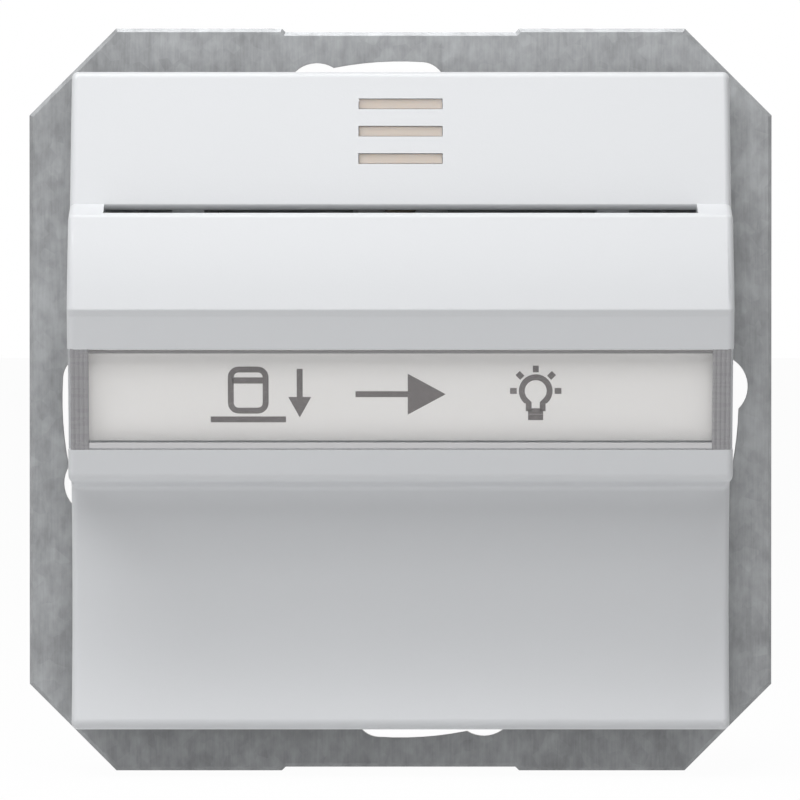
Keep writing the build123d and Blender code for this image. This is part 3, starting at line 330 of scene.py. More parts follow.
def node_points(name):
    """The corners of a CAD node's mesh as an array, in metres."""
    mesh = frame["nodes"][name].data
    flat = np.empty(len(mesh.vertices) * 3, np.float32)
    mesh.vertices.foreach_get("co", flat)
    return flat.reshape(-1, 3).astype(float)


def front_plane(name):
    """Centre of a flat strip's front face, with the unit vectors up the face and out of it.

    The face's normal is the direction in which the strip's corners spread least, turned to face -Y, and
    up is the normal crossed with +X.
    """
    points = node_points(name)
    centre = (points.min(0) + points.max(0)) / 2
    spread = points - centre
    out = np.linalg.svd(spread, full_matrices=False)[2][2]
    out = out * -np.sign(out[1])
    up = np.cross(out, ACROSS)
    up = up * np.sign(up[2])
    return centre + out * np.abs(spread @ out).max(), up, out


def build_piece(name, parts, material, smooth=True):
    """Joins (points, faces) parts into one mesh object at the origin, each part's faces turned outwards.

    A part's signed volume is the sum of each face fan's triple product over 6, and a part whose volume
    is negative has its faces reversed.
    """
    points, faces = [], []
    start = 0
    for part_points, part_faces in parts:
        part_points = np.asarray(part_points, float).reshape(-1, 3)
        fans = [(f[0], f[i], f[i + 1]) for f in part_faces for i in range(1, len(f) - 1)]
        a, b, c = (part_points[np.array(fans)[:, k]] for k in range(3))
        turned = np.einsum("ij,ij->i", a, np.cross(b, c)).sum() < 0
        faces += [tuple(start + i for i in (reversed(f) if turned else f)) for f in part_faces]
        points.append(part_points)
        start += len(part_points)
    mesh = bpy.data.meshes.new(name)
    mesh.from_pydata(np.concatenate(points).tolist(), [], faces)
    mesh.validate()
    mesh.materials.append(material)
    piece = bpy.data.objects.new(name, mesh)
    bpy.context.scene.collection.objects.link(piece)
    if smooth:
        mesh.polygons.foreach_set("use_smooth", np.ones(len(mesh.polygons), bool))
        mesh.set_sharp_from_angle(angle=math.radians(SMOOTH_BELOW_DEG))
    return piece


def ring_grid(rings, closed):
    """Faces over an array of rings of points: quads between them, and a cap at each open end."""
    count, around = rings.shape[:2]
    index = np.arange(count * around).reshape(count, around)
    following = np.roll(index, -1, axis=1)
    last = count if closed else count - 1
    upper = np.roll(index, -1, axis=0)[:last]
    upper_following = np.roll(following, -1, axis=0)[:last]
    quads = np.stack((index[:last], following[:last], upper_following, upper), -1).reshape(-1, 4)
    faces = [tuple(quad) for quad in quads.tolist()]
    if not closed:
        faces += [tuple(index[0, ::-1].tolist()), tuple(index[-1].tolist())]
    return rings.reshape(-1, 3), faces


def carried(path, up, profile, closed=False):
    """A profile carried along a path: each point is path + side * x + up * y.

    The tangent is the central difference of the path, side is tangent x up, and up is squared to it.
    """
    path = np.asarray(path, float)
    up = np.broadcast_to(np.asarray(up, float), path.shape)
    if closed:
        tangent = np.roll(path, -1, axis=0) - np.roll(path, 1, axis=0)
    else:
        tangent = np.gradient(path, axis=0)
    tangent /= np.linalg.norm(tangent, axis=1, keepdims=True)
    side = np.cross(tangent, up)
    side /= np.linalg.norm(side, axis=1, keepdims=True)
    square_up = np.cross(side, tangent)
    rings = (
        path[:, None, :]
        + side[:, None, :] * profile[None, :, 0, None]
        + square_up[:, None, :] * profile[None, :, 1, None]
    )
    return ring_grid(rings, closed)


def round_profile(radius, sides):
    """A circle: (r cos t, r sin t) for t round one turn."""
    turn = np.linspace(0.0, math.tau, sides, endpoint=False)
    return radius * np.stack((np.cos(turn), np.sin(turn)), -1)


def flat_profile(width, height):
    """A rectangle's four corners about the origin."""
    return np.array(((-1, -1), (1, -1), (1, 1), (-1, 1))) * np.array((width, height)) / 2


def arc(centre, radius, start, end, steps):
    """Points of a flat arc from start to end degrees: centre + r (cos t, sin t)."""
    turn = np.radians(np.linspace(start, end, steps))
    return np.array(centre) + radius * np.stack((np.cos(turn), np.sin(turn)), -1)


def round_box(centre, width, height, radius, steps=6):
    """A rectangle with round corners: four quarter arcs about its inner corners."""
    half = np.array((width / 2 - radius, height / 2 - radius))
    corners = (((1, 1), 0), ((-1, 1), 90), ((-1, -1), 180), ((1, -1), 270))
    arcs = [
        arc(np.array(centre) + half * np.array(sign), radius, start, start + 90, steps)
        for sign, start in corners
    ]
    return np.concatenate(arcs)


class LabelPlane:
    """Flat places on the label strip, as points of the switch's frame."""

    def __init__(self, look):
        self.middle, self.up, self.out = front_plane("label_strip")
        self.proud = look.ink_height
        self.line = look.line_width

    def points(self, flat, lift=0.0):
        """Flat (across, up) points in millimetres, lifted out of the strip by lift metres."""
        flat = np.atleast_2d(flat) * MM
        return self.middle + flat[:, :1] * ACROSS + flat[:, 1:] * self.up + lift * self.out

    def stroke(self, flat, closed=False, width=None):
        """A printed line along flat points."""
        profile = flat_profile(width or self.line, 2 * self.proud)
        return carried(self.points(flat), self.out, profile, closed)

    def patch(self, flat):
        """A printed area inside a flat outline: the outline at two heights, joined by its rim."""
        low = self.points(flat, -self.proud)
        high = self.points(flat, self.proud)
        return ring_grid(np.stack((low, high)), closed=False)


def card_symbol(plane, x, look):
    """A card with its stripe, standing over the line of a slot."""
    half = look.symbol_height / MM / 2
    card = round_box((x, 0.15 * half), 1.25 * half, 1.5 * half, 0.28 * half)
    stripe = round_box((x, 0.5 * half), 1.2 * half, 0.22 * half, 0.05 * half)
    slot_line = np.array(((x - 1.35 * half, -0.92 * half), (x + 1.35 * half, -0.92 * half)))
    return [plane.stroke(card, closed=True), plane.patch(stripe), plane.stroke(slot_line)]


def arrow_symbol(plane, x, y, length, turn_deg, look):
    """A straight arrow: a shaft and a three-cornered head, turned by turn_deg from pointing right."""
    turn = math.radians(turn_deg)
    along = np.array((math.cos(turn), math.sin(turn)))
    aside = np.array((-along[1], along[0]))
    middle = np.array((x, y))
    tip = middle + along * length / 2
    neck = tip - along * length * look.head_share
    wing = aside * length * look.head_share * 0.55
    shaft = np.stack((middle - along * length / 2, neck))
    return [plane.stroke(shaft), plane.patch(np.stack((neck - wing, tip, neck + wing)))]


def lamp_symbol(plane, x, look):
    """A lamp: a round bulb open at its neck, two lines of its cap, and rays round its upper half."""
    half = look.symbol_height / MM / 2
    bulb_r = 0.5 * half
    middle = (x, 0.12 * half)
    bulb = arc(middle, bulb_r, -60.0, 240.0, 25)
    left = np.array((x - 0.25 * half, -0.62 * half))
    right = np.array((x + 0.25 * half, -0.62 * half))
    outline = np.concatenate((right[None], bulb, left[None]))
    parts = [plane.stroke(outline)]
    for drop in (0.62, 0.84):
        cap = np.array(((x - 0.27 * half, -drop * half), (x + 0.27 * half, -drop * half)))
        parts.append(plane.stroke(cap))
    for angle in np.linspace(0.0, 180.0, look.ray_count):
        ray = np.array((math.cos(math.radians(angle)), math.sin(math.radians(angle))))
        ends = np.array(middle) + np.outer((bulb_r + 0.18 * half, bulb_r + 0.42 * half), ray)
        parts.append(plane.stroke(ends))
    return parts


def coil_path(start, end, radius, turns, end_turns, axis, phase=0.0, steps_per_turn=28):
    """A spring's centre line round an axis, with its end turns laid close.

    The angle grows evenly from the phase, in turns, over the number of turns. The height is the wound
    share of the angle, where the end turns advance by a fifth of the middle turns' pitch, and the place
    is start + axis * height + radius * (cos angle, sin angle) in the plane across the axis.
    """
    start, axis = np.array(start, float), np.array(axis, float)
    first = UPWARD if abs(axis[2]) < 0.5 else ACROSS
    second = np.cross(axis, first)
    turn = np.linspace(0.0, turns, int(turns * steps_per_turn) + 1)
    near_end = np.minimum(turn, turns - turn) < end_turns
    pitch = np.where(near_end, 0.2, 1.0)
    height = np.concatenate(((0.0,), np.cumsum((pitch[1:] + pitch[:-1]) / 2)))
    height *= np.linalg.norm(np.array(end) - start) / height[-1]
    angle = (turn + phase) * math.tau
    radial = np.outer(np.cos(angle), first) + np.outer(np.sin(angle), second)
    return start + np.outer(height, axis) + radius * radial, radial


def touching_turn(offset, radius, side):
    """Turn, from +Z towards -Y, at which a straight leg from a (y, z) offset touches a coil.

    It is the offset's own angle plus side times the arc cosine of radius over distance.
    """
    own = math.atan2(-offset[0], offset[1])
    return (own + side * math.acos(radius / math.hypot(*offset))) / math.tau


def thread_sleeve(axis_x, low_y, high_y, core, depth, pitch):
    """A screw thread round an axis along Y, as one sheet of angle and height.

    Its radius is core + depth * ridge, where ridge is the triangle wave of height / pitch - angle / turn,
    raised from 0 to 1 and faded to nothing over one pitch at each end. The ends close on the axis.
    """
    rows = int((high_y - low_y) / pitch * THREAD_ROWS_PER_PITCH)
    height = np.linspace(low_y, high_y, rows)[:, None]
    turn = np.linspace(0.0, 1.0, THREAD_SIDES, endpoint=False)[None, :]
    phase = (height - low_y) / pitch - turn
    ridge = 1.0 - np.abs(2.0 * (phase - np.floor(phase)) - 1.0)
    fade = np.clip(np.minimum(height - low_y, high_y - height) / pitch, 0.0, 1.0)
    radius = core + depth * np.clip(1.4 * ridge - 0.2, 0.0, 1.0) * fade
    angle = turn * math.tau
    rings = np.stack(
        (axis_x + radius * np.cos(angle), height + 0.0 * radius, radius * np.sin(angle)), -1
    )
    return ring_grid(rings, closed=False)


def named(entries, name):
    """The one of the frame's joints or mounts that has this name."""
    return next(entry for entry in entries if entry["name"] == name)


def entry_spacing(name):
    """Spacing of a pattern of wire entries, across and up the back, in metres."""
    dims = named(frame["record"]["mounts"], name)["dims"]
    return dims["spacing_x_mm"] * MM, dims["spacing_y_mm"] * MM


def length(name, description, default):
    """A size in metres that a user may change."""
    return FloatProperty(name=name, description=description, default=default, unit="LENGTH")


def colour(name, description, default):
    """A colour that a user may change."""
    return FloatVectorProperty(name=name, description=description, default=default, subtype="COLOR")


class SteelLook(bpy.types.PropertyGroup):
    zinc_colour: colour("Zinc", "Colour of the zinc plating", (0.325, 0.333, 0.341))
    zinc_metal: FloatProperty(name="Metal", description="How metallic the plating is", default=0.6)
    zinc_roughness: FloatProperty(name="Dullness", description="Roughness of the plating", default=0.42)
    cloud_size: length("Clouds", "Size of the plating's clouds", 0.006)
    crystal_size: length("Crystals", "Size of the zinc crystals", 0.0012)
    mottle_size: length("Mottle", "Size of the small spots in the plating", 0.0009)
    line_size: length("Lines", "Width of rolling and turning lines", 0.00018)
    line_stretch: FloatProperty(name="Stretch", description="Squeeze along the lines", default=0.06)
    zinc_bump: length("Relief", "Height of the plating's relief", 0.00006)
    metal_bump: length("Line relief", "Height of the turning lines", 0.00001)
    tarnish_size: length("Tarnish", "Size of the tarnish patches", 0.0015)
    bright_colour: colour("Bright steel", "Colour of plated screws", (0.62, 0.63, 0.64))
    brass_colour: colour("Brass", "Colour of the contacts", (0.72, 0.53, 0.24))


class PlasticLook(bpy.types.PropertyGroup):
    cover_colour: colour("Cover", "Colour of the cover", (0.66, 0.672, 0.69))
    inside_colour: colour("Inner parts", "Colour of white inner parts", (0.74, 0.745, 0.75))
    base_colour: colour("Base", "Colour of the switch base", (0.42, 0.43, 0.44))
    release_colour: colour("Release", "Colour of the release buttons", (0.05, 0.055, 0.06))
    cream_colour: colour("Diffuser", "Colour of the lamp's diffuser", (0.86, 0.72, 0.62))
    lamp_colour: colour("Lamp", "Tint of the lamp's glass", (0.95, 0.8, 0.62))
    clear_colour: colour("Window", "Tint of the label window", (0.97, 0.975, 0.985))
    cover_roughness: FloatProperty(name="Satin", description="Roughness of the cover", default=0.3)
    flow_size: length("Flow clouds", "Size of the faint moulding clouds", 0.018)
    grain_size: length("Grain", "Size of the mould's grain", 0.00016)
    grain_depth: length("Grain depth", "Depth of the mould's grain", 0.000008)


class LabelLook(bpy.types.PropertyGroup):
    paper_colour: colour("Paper", "Colour of the label", (0.96, 0.946, 0.93))
    ink_colour: colour("Ink", "Colour of the print", (0.19, 0.176, 0.176))
    cloud_size: length("Clouds", "Size of the paper's clouds", 0.004)
    fibre_size: length("Fibres", "Width of the paper's fibres", 0.00015)
    fibre_depth: length("Fibre depth", "Height of the paper's fibres", 0.00001)
    ink_height: length("Ink height", "How far print stands out", 0.00002)
    line_width: length("Line", "Width of the printed lines", 0.00055)
    symbol_height: length("Symbols", "Height of the printed symbols", 0.0052)
    head_share: FloatProperty(
        name="Arrow head", description="Share of an arrow that is its head", default=0.42
    )
    ray_count: IntProperty(name="Rays", description="Rays round the lamp symbol", default=5)
    rib_count: IntProperty(name="Ribs", description="Grip ribs at each end of the window", default=4)
    rib_height: length("Rib", "Height of a grip rib", 0.0001)
    grip_width: length("Grip", "Width of the ribbed strip at each end", 0.0017)
    # Painted highlight: the window's lower bar is a light grey strip that paints the light caught by its lower
    # bevel; its place and height follow.
    low_edge_drop: length("Edge drop", "From the window's middle to its frosted edge", 0.00438)
    low_edge_height: length("Edge height", "Height of the frosted lower edge", 0.0005)
    # Painted shadow: the window's upper bar is a dark grey strip that paints the shade under the upper lip; its
    # place, height and colour follow.
    top_edge_rise: length("Edge rise", "From the window's middle to its upper bevel", 0.00448)
    top_edge_height: length("Bevel height", "Height of the shaded upper bevel", 0.00026)
    edge_shade: colour("Bevel", "Colour of the shaded upper bevel", (0.26, 0.255, 0.26))
    # The lower bar's light grey colour is a painted highlight of the lit bevel.
    frost_colour: colour("Frost", "Colour of the frosted lower edge", (0.74, 0.735, 0.745))
    grip_share: FloatProperty(
        name="Grip height", description="Share of the window's height it covers", default=0.86
    )
    # Painted shade: the grips' grey stands for the shade of the open channel seen through the window's clear ends.
    grip_colour: colour("Grip colour", "Colour of the ribbed strips", (0.36, 0.355, 0.368))


class WorksLook(bpy.types.PropertyGroup):
    plunger_wire: length("Plunger wire", "Radius of the plunger spring's wire", 0.00025)
    plunger_turns: FloatProperty(
        name="Plunger turns", description="Turns of the plunger spring", default=6.5
    )
    lever_wire: length("Lever wire", "Radius of the lever spring's wire", 0.0002)
    lever_coil: length("Lever coil", "Radius of the lever spring's turns", 0.0015)
    lever_turns: IntProperty(name="Lever turns", description="Whole turns of the lever spring", default=3)
    lever_leg_inset: length("Leg inset", "From the coil's rear to the lever leg's end", 0.00085)
    leaf_thickness: length("Leaf", "Thickness of a clamp leaf", 0.0004)
    leaf_bend: length("Leaf bend", "Radius of a clamp leaf's foot", 0.0004)
    leaf_push: length("Leaf push", "Where the release bar meets the leaf, from the middle", 0.013)
    thread_pitch: length("Pitch", "Pitch of the claw screws", 0.0006)
    thread_depth: length("Thread", "How far the thread stands out", 0.00013)
    mark_height: length("Marks", "Height of the raised terminal numbers", 0.0032)
    mark_proud: length("Marks proud", "How far the numbers stand out", 0.00015)
    mark_aside: length("Marks aside", "From a wire entry to its number", 0.0044)
    mark_tone: FloatProperty(name="Marks tone", description="Share of the base's colour", default=0.4)


class StudioLook(bpy.types.PropertyGroup):
    camera_distance: length("Distance", "From the camera to the wall plane", 0.6)
    camera_rise: length("Rise", "How far above the middle the camera stands", 0.006)
    photo_width: length("View width", "Width of the wall plane in the view", 0.07668)
    key_power: FloatProperty(name="Key", description="Watts of the light at the upper left", default=1.62)
    top_power: FloatProperty(name="Top", description="Watts of the light above", default=2.05)
    front_power: FloatProperty(name="Front", description="Watts of the light in front", default=1.3)
    lamp_size: length("Lamp size", "Edge of each lamp's panel", 0.32)
    sky_strength: FloatProperty(name="Sky", description="Strength of the even light", default=0.03)
    floor_glow: FloatProperty(
        name="Floor glow", description="Share of the floor that shows pure white", default=0.97
    )


class KEYSWITCH_OT_steel(bpy.types.Operator):
    """Finish the carrier, claws, screws, springs and contacts"""

    bl_idname = "keyswitch.steel"
    bl_label = "Metal finishes"

    def execute(self, context):
        look = context.scene.keyswitch_steel
        dress(rolled_zinc(look), "carrier_ring", "claw_left", "claw_right")
        bright = bright_metal("bright_steel", look.bright_colour, look, roughness=0.2)
        dress(bright, "housing_screws", "claw_screw_left", "claw_screw_right", "claw_pins", "lever_pin")
        dress(bright, "clamp_springs_left", "clamp_springs_right", "lever_spring", "plunger_spring")
        brass = bright_metal("contact_brass", look.brass_colour, look, roughness=0.22)
        dress(brass, "contact_arm", "common_terminal", "make_terminal", "break_terminal")
        dress(brass, "lamp_terminal", "lamp_contacts")
        return {"FINISHED"}


class KEYSWITCH_OT_plastic(bpy.types.Operator):
    """Finish the cover, the switch base and the other moulded pieces"""

    bl_idname = "keyswitch.plastic"
    bl_label = "Plastic finishes"

    def execute(self, context):
        look = context.scene.keyswitch_plastic
        dress(moulded("satin_cover", look.cover_colour, look, look.cover_roughness), "cover_plate")
        inner = moulded("inner_white", look.inside_colour, look, roughness=0.45)
        dress(inner, "card_guide", "card_lever", "plunger", "lamp_holder")
        base = moulded("base_grey", look.base_colour, look, roughness=0.5, grain=1.6)
        dress(base, "base_housing", "front_bridge")
        release = moulded("release_dark", look.release_colour, look, roughness=0.4)
        dress(release, "release_button_left", "release_button_right")
        dress(glowing_cream("diffuser_cream", look.cream_colour, look), "lamp_diffuser")
        dress(lamp_glass("lamp_glass", look.lamp_colour), "glow_lamp")
        window = clear_plastic("clear_window", look.clear_colour, look, low=0.02, high=0.16, roughness=0.08)
        dress(window, "label_window")
        return {"FINISHED"}


class KEYSWITCH_OT_label(bpy.types.Operator):
    """Print the label with plain symbols and give the window its grip ribs"""

    bl_idname = "keyswitch.label"
    bl_label = "Label and window"

    def execute(self, context):
        look = context.scene.keyswitch_label
        dress(plain_paper("label_paper", look), "label_strip")
        plane = LabelPlane(look)
        parts = card_symbol(plane, CARD_X, look)
        parts += arrow_symbol(plane, CARD_ARROW_X, CARD_ARROW_Y, CARD_ARROW_LENGTH, POINTS_DOWN, look)
        parts += arrow_symbol(plane, 0.0, 0.0, FLOW_ARROW_LENGTH, POINTS_RIGHT, look)
        parts += lamp_symbol(plane, LAMP_X, look)
        marks = build_piece("label_symbols", parts, printed_ink("label_ink", look), smooth=False)
        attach(marks, "label")
        plastic = context.scene.keyswitch_plastic
        # The ribbed grips carry painted grey shade of the open channel under the window's clear ends.
        finish = clear_plastic("shaded_window_grips", look.grip_colour, plastic, low=0.85, high=0.95, roughness=0.25)
        grips = build_piece("shaded_window_grips", self.grips(look), finish)
        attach(grips, "label")
        for name, place, height, colour in (
            # painted highlight: a light grey bar along the window's lower bevel
            ("window_low_highlight", -look.low_edge_drop, look.low_edge_height, look.frost_colour),
            # painted shadow: a dark grey bar under the window's upper lip
            ("window_top_shadow", look.top_edge_rise, look.top_edge_height, look.edge_shade),
        ):
            # Each bar's finish carries its painted highlight (lower bar) or painted shadow (upper bar).
            painted_bar_finish = clear_plastic(name, colour, plastic, low=0.8, high=0.9, roughness=0.35)
            bar = build_piece(name, [self.edge_bar(look, place, height)], painted_bar_finish, smooth=False)
            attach(bar, "label")
        return {"FINISHED"}

    def edge_bar(self, look, place, height):
        """A flat bar between the grips, at a place up the window's face: the lower bar is a painted highlight of
        the window's lower bevel, and the upper bar is a painted shadow under its upper lip.
        """
        middle, up, out = front_plane("label_window")
        low, high = (np.array(corner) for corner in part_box("label_window"))
        half = (high - low)[0] / 2 - look.grip_width
        path = middle + up * place + np.outer((-half, half), ACROSS)
        return carried(path, out, flat_profile(height, 2 * look.rib_height))

    def grips(self, look):
        """A ribbed strip at each end of the window, whose top rises as the size of a sine wave.

        Its height above the window is the rib's height times 0.3 + 0.7 |sin(pi * rib number)|.
        """
        middle, up, out = front_plane("label_window")
        low, high = (np.array(corner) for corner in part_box("label_window"))
        half_high = look.grip_share * np.linalg.norm((high - low)[1:]) / 2
        share = np.linspace(0.0, 1.0, 12 * look.rib_count + 1)
        wave = look.rib_height * (0.3 + 0.7 * np.abs(np.sin(math.pi * look.rib_count * share)))
        across = (share - 0.5) * look.grip_width
        top = np.stack((across, wave), -1)
        bottom = np.array(((across[-1], -look.rib_height), (across[0], -look.rib_height)))
        profile = np.concatenate((top, bottom))
        parts = []
        for side in (-1, 1):
            foot = middle + ACROSS * side * ((high - low)[0] - look.grip_width) / 2
            path = foot + np.outer((-half_high, half_high), up)
            parts.append(carried(path, out, profile))
        return parts


class KEYSWITCH_OT_springs(bpy.types.Operator):
    """Wind the plunger's pressure spring and the lever's torsion spring"""

    bl_idname = "keyswitch.springs"
    bl_label = "Springs"

    def execute(self, context):
        look = context.scene.keyswitch_works
        steel = frame["nodes"]["plunger_spring"].material_slots[0].material
        self.plunger_spring(look, steel)
        self.lever_spring(look, steel)
        return {"FINISHED"}

    def plunger_spring(self, look, steel):
        """A pressure spring with closed ends, in place of the CAD spring and fixed to the housing."""
        low, high = (np.array(corner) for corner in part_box("plunger_spring"))
        middle = (low + high) / 2
        wire = look.plunger_wire
        start = (middle[0], low[1] + wire, middle[2])
        end = (middle[0], high[1] - wire, middle[2])
        radius = (high[0] - low[0]) / 2 - wire
        path, radial = coil_path(start, end, radius, look.plunger_turns, 1.0, BACKWARD)
        coil = build_piece("plunger_coil", [carried(path, radial, round_profile(wire, WIRE_SIDES))], steel)
        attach(coil, "housing")
        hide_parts("plunger_spring")
        travel = named(frame["joints"], "plunger_slide")["range_m"][1]
        length = high[1] - low[1]
        1.0 - travel / length
        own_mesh(coil)

    def lever_spring(self, look, steel):
        """A torsion spring: turns on the pin, one leg down the lever and one up the guide."""
        low, high = (np.array(corner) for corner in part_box("lever_spring"))
        pivot = named(frame["joints"], "card_lever_pivot")["pos_m"]
        wire = look.lever_wire
        radius = look.lever_coil
        start = np.array((low[0] + wire, pivot[1], pivot[2]))
        end = np.array((high[0] - wire, pivot[1], pivot[2]))
        foot = np.array((start[0], high[1] - look.lever_leg_inset, low[2] + wire))
        tip = np.array((end[0], low[1] + wire, high[2] - wire))
        first = touching_turn(foot[1:] - start[1:], radius, 1.0)
        last = touching_turn(tip[1:] - start[1:], radius, -1.0)
        turns = look.lever_turns + (last - first) % 1.0
        path, _ = coil_path(start, end, radius, turns, 0.0, ACROSS, first)
        first_leg = np.linspace(foot, path[0], 12)[:-1]
        last_leg = np.linspace(path[-1], tip, 12)[1:]
        whole = np.concatenate((first_leg, path, last_leg))
        coil = build_piece("lever_coil", [carried(whole, ACROSS, round_profile(wire, WIRE_SIDES))], steel)
        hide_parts("lever_spring")
        drop = pivot[2] - radius
        drop - LEG_BEND
        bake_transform(coil)


class KEYSWITCH_OT_clamps(bpy.types.Operator):
    """Bend the clamp leaves in place of the CAD clamp springs"""

    bl_idname = "keyswitch.clamps"
    bl_label = "Clamp springs"

    def execute(self, context):
        look = context.scene.keyswitch_works
        steel = frame["nodes"]["clamp_springs_left"].material_slots[0].material
        level = (entry_spacing("wire_entries_outer")[1] + entry_spacing("wire_entries_inner")[1]) / 4
        thick = look.leaf_thickness
        for side, sign in zip(LEFT_RIGHT, (-1.0, 1.0)):
            node = f"clamp_springs_{side}"
            low, high = (np.array(corner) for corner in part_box(node))
            near, far = sorted(np.abs((low[0], high[0])))
            half = thick / 2
            flat = self.leaf_path(far - half, near + half, low[1] + half, high[1], look.leaf_bend)
            profile = flat_profile(thick, 2 * (high[2] - level))
            parts = []
            for z in (-level, level):
                path = np.stack((sign * flat[:, 0], flat[:, 1], np.full(len(flat), z)), -1)
                parts.append(carried(path, UPWARD, profile))
            leaves = build_piece(f"clamp_leaves_{side}", parts, steel)
            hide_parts(node)
            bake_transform(leaves)
        return {"FINISHED"}

    def leaf_path(self, fixed, free, foot, tip, radius):
        """A bent leaf from above: down its fixed leg, round its foot and straight up to its free tip.

        The foot is an arc about a centre one radius inside the fixed leg. It ends where the line to the
        tip touches it: the line leans by the tip's bearing less a right angle and less the arc sine of
        radius over distance.
        """
        centre = np.array((fixed - radius, foot + radius))
        to_tip = np.array((free, tip)) - centre
        lean = math.atan2(to_tip[1], to_tip[0]) - math.pi / 2 - math.asin(radius / np.hypot(*to_tip))
        bend = arc(centre, radius, 0.0, math.degrees(lean) - 180.0, 14)
        down = np.linspace((fixed, tip), bend[0], 8)[:-1]
        rise = np.linspace(bend[-1], (free, tip), 24)[1:]
        return np.concatenate((down, bend, rise))


class KEYSWITCH_OT_threads(bpy.types.Operator):
    """Cut the threads of the claw screws behind the carrier"""

    bl_idname = "keyswitch.threads"
    bl_label = "Screw threads"

    def execute(self, context):
        look = context.scene.keyswitch_works
        steel = frame["nodes"]["claw_screw_left"].material_slots[0].material
        for side in LEFT_RIGHT:
            joint = named(frame["joints"], f"claw_screw_{side}_turn")
            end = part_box(f"claw_screw_{side}")[1].y
            sleeve = thread_sleeve(
                joint["pos_m"][0], THREAD_START, end - THREAD_END_GAP, THREAD_CORE,
                look.thread_depth, look.thread_pitch,
            )
            thread = build_piece(f"claw_thread_{side}", [sleeve], steel)
            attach(thread, f"claw_screw_{side}")
        return {"FINISHED"}


class KEYSWITCH_OT_marks(bpy.types.Operator):
    """Raise plain numbers beside the wire entries on the back of the base"""

    bl_idname = "keyswitch.marks"
    bl_label = "Terminal numbers"

    def execute(self, context):
        look = context.scene.keyswitch_works
        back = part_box("base_housing")[1].y
        across, above = (spacing / 2 for spacing in entry_spacing("wire_entries_outer"))
        plastic = context.scene.keyswitch_plastic
        tone = moulded("mark_grey", scaled(plastic.base_colour, look.mark_tone), plastic, roughness=0.5)
        places = ((-1, 1), (1, 1), (-1, -1), (1, -1))
        for number, (side, level) in enumerate(places, start=1):
            mark = self.digit(str(number), look, tone)
            self.seat(mark, (side * (across - look.mark_aside), back, level * above))
            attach(mark, "housing")
        return {"FINISHED"}

    def digit(self, text, look, material):
        """A raised digit as a mesh in its own flat plane."""
        curve = bpy.data.curves.new("terminal_number", "FONT")
        curve.body = text
        curve.size = look.mark_height
        curve.align_x = "CENTER"
        curve.align_y = "CENTER"
        curve.extrude = look.mark_proud
        curve.resolution_u = 3
        writer = bpy.data.objects.new("writer", curve)
        bpy.context.scene.collection.objects.link(writer)
        bpy.context.view_layer.update()
        mesh = bpy.data.meshes.new_from_object(writer.evaluated_get(bpy.context.evaluated_depsgraph_get()))
        bpy.data.objects.remove(writer)
        mesh.materials.clear()
        mesh.materials.append(material)
        piece = bpy.data.objects.new(f"terminal_number_{text}", mesh)
        bpy.context.scene.collection.objects.link(piece)
        return piece

    def seat(self, piece, middle):
        """Turns a flat digit to face +Y with its top up, and puts it at a place in the mesh itself."""
        flat = np.empty(len(piece.data.vertices) * 3, np.float32)
        piece.data.vertices.foreach_get("co", flat)
        flat = flat.reshape(-1, 3)
        placed = np.stack((-flat[:, 0], flat[:, 2], flat[:, 1]), -1) + np.array(middle)
        piece.data.vertices.foreach_set("co", placed.astype(np.float32).ravel())
        piece.data.update()


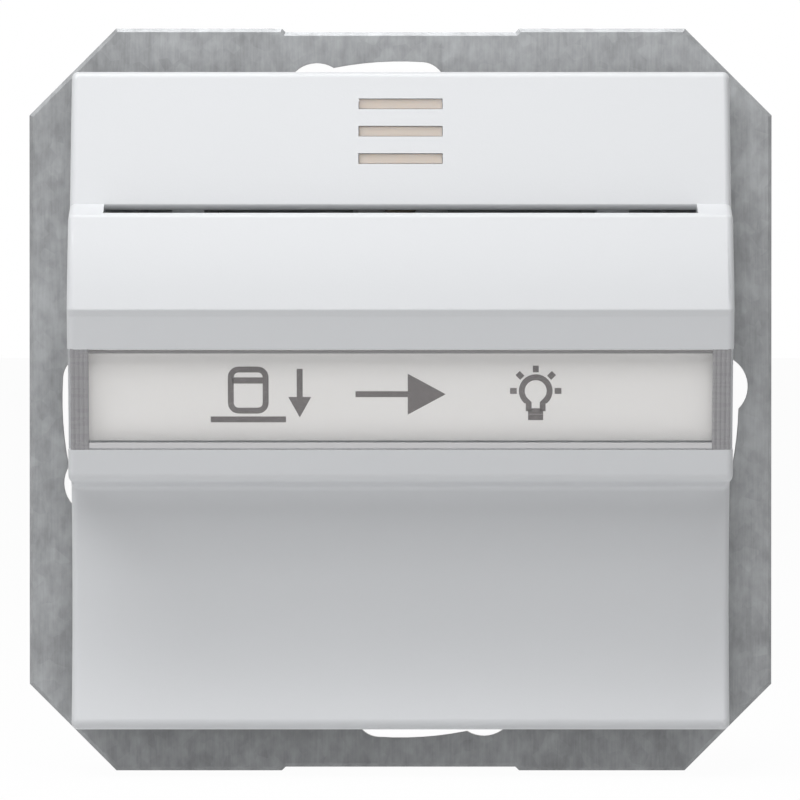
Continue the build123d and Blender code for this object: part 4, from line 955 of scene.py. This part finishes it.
class KEYSWITCH_OT_studio(bpy.types.Operator):
    """Set up the floor, the even white surroundings, the lights and the camera"""

    bl_idname = "keyswitch.studio"
    bl_label = "Studio"

    def execute(self, context):
        look = context.scene.keyswitch_studio
        scene = context.scene
        scene.view_settings.view_transform = "Standard"
        self.floor(look)
        self.sky(look)
        self.lamp("key_light", look.key_power, look.lamp_size, KEY_PLACE)
        self.lamp("top_light", look.top_power, look.lamp_size, TOP_PLACE)
        self.lamp("front_light", look.front_power, look.lamp_size, FRONT_PLACE)
        camera = bpy.data.cameras.new("photo_camera")
        camera.sensor_width = 36.0
        camera.lens = camera.sensor_width * look.camera_distance / look.photo_width
        holder = bpy.data.objects.new("photo_camera", camera)
        holder.location = PHOTO_MIDDLE + Vector((0.0, -look.camera_distance, look.camera_rise))
        holder.rotation_euler = (PHOTO_MIDDLE - holder.location).to_track_quat("-Z", "Y").to_euler()
        camera.clip_start, camera.clip_end = 0.01, 50.0
        scene.collection.objects.link(holder)
        scene.camera = holder
        return {"FINISHED"}

    def shows_directly(self, recipe):
        """1 for rays from the camera and those mirrored or let through on their way from it."""
        seen = recipe.add("ShaderNodeLightPath", {}, {}, "Is Camera Ray")
        mirrored = recipe.add("ShaderNodeLightPath", {}, {}, "Is Glossy Ray")
        through = recipe.add("ShaderNodeLightPath", {}, {}, "Is Transmission Ray")
        return seen.either(mirrored).either(through)

    def floor(self, look):
        """A wide flat sheet just under the switch, white to the eye but for a faint shadow."""
        low = cad_box[0].z - FLOOR_DROP
        corners = [(x * FLOOR_HALF, y * FLOOR_HALF, low) for x, y in ((-1, -1), (1, -1), (1, 1), (-1, 1))]
        mesh = bpy.data.meshes.new("floor")
        mesh.from_pydata(corners, [], [(0, 1, 2, 3)])
        sheet = bpy.data.objects.new("floor", mesh)
        bpy.context.scene.collection.objects.link(sheet)
        finish = new_finish("studio_floor")
        grain = finish.noise(0.02, detail=3.0)
        finish.feed(base_color=finish.tint(grain, (0.78, 0.78, 0.78), (0.8, 0.8, 0.8)), roughness=0.9)
        glow = finish.add("ShaderNodeEmission", {}, {"Color": (1.0, 1.0, 1.0, 1.0), "Strength": 1.0})
        share = self.shows_directly(finish) * look.floor_glow
        plain = Value(finish, finish.surface.outputs[0])
        shown = finish.add("ShaderNodeMixShader", {}, {0: share, 1: plain, 2: glow})
        output = finish.tree.nodes["Material Output"]
        finish.plug(output.inputs["Surface"], shown)
        mesh.materials.append(finish.owner)

    def sky(self, look):
        """White where it is seen, mirrored or let through, and a faint even light elsewhere."""
        world = bpy.data.worlds.new("studio_sky")
        bpy.context.scene.world = world
        recipe = Recipe(world)
        strength = look.sky_strength + (1.0 - look.sky_strength) * self.shows_directly(recipe)
        background = recipe.tree.nodes["Background"]
        recipe.plug(background.inputs["Color"], (1.0, 1.0, 1.0, 1.0))
        recipe.plug(background.inputs["Strength"], strength)

    def lamp(self, name, power, size, place):
        light = bpy.data.lights.new(name, "AREA")
        light.energy = power
        light.size = size
        holder = bpy.data.objects.new(name, light)
        holder.location = place
        holder.rotation_euler = (-Vector(place)).to_track_quat("-Z", "Y").to_euler()
        bpy.context.scene.collection.objects.link(holder)


OPERATORS = (
    KEYSWITCH_OT_steel,
    KEYSWITCH_OT_plastic,
    KEYSWITCH_OT_label,
    KEYSWITCH_OT_springs,
    KEYSWITCH_OT_clamps,
    KEYSWITCH_OT_threads,
    KEYSWITCH_OT_marks,
    KEYSWITCH_OT_studio,
)
LOOKS = {
    "keyswitch_steel": SteelLook,
    "keyswitch_plastic": PlasticLook,
    "keyswitch_label": LabelLook,
    "keyswitch_works": WorksLook,
    "keyswitch_studio": StudioLook,
}


class KEYSWITCH_PT_looks(bpy.types.Panel):
    """Lists the switch's looks in the sidebar"""

    bl_idname = "KEYSWITCH_PT_looks"
    bl_label = "Key Card Switch"
    bl_space_type = "VIEW_3D"
    bl_region_type = "UI"
    bl_category = "Key Switch"

    def draw(self, context):
        for attribute, group in LOOKS.items():
            box = self.layout.box()
            for name in group.__annotations__:
                box.prop(getattr(context.scene, attribute), name)
        for operator in OPERATORS:
            self.layout.operator(operator.bl_idname)


def register():
    for group in LOOKS.values():
        bpy.utils.register_class(group)
    for operator in OPERATORS:
        bpy.utils.register_class(operator)
    bpy.utils.register_class(KEYSWITCH_PT_looks)
    for attribute, group in LOOKS.items():
        setattr(bpy.types.Scene, attribute, PointerProperty(type=group))


def unregister():
    for attribute in LOOKS:
        delattr(bpy.types.Scene, attribute)
    bpy.utils.unregister_class(KEYSWITCH_PT_looks)
    for operator in reversed(OPERATORS):
        bpy.utils.unregister_class(operator)
    for group in reversed(list(LOOKS.values())):
        bpy.utils.unregister_class(group)


def main():
    register()
    for operator in OPERATORS:
        group, name = operator.bl_idname.split(".")
        getattr(getattr(bpy.ops, group), name)()


if __name__ == "__main__":
    main()
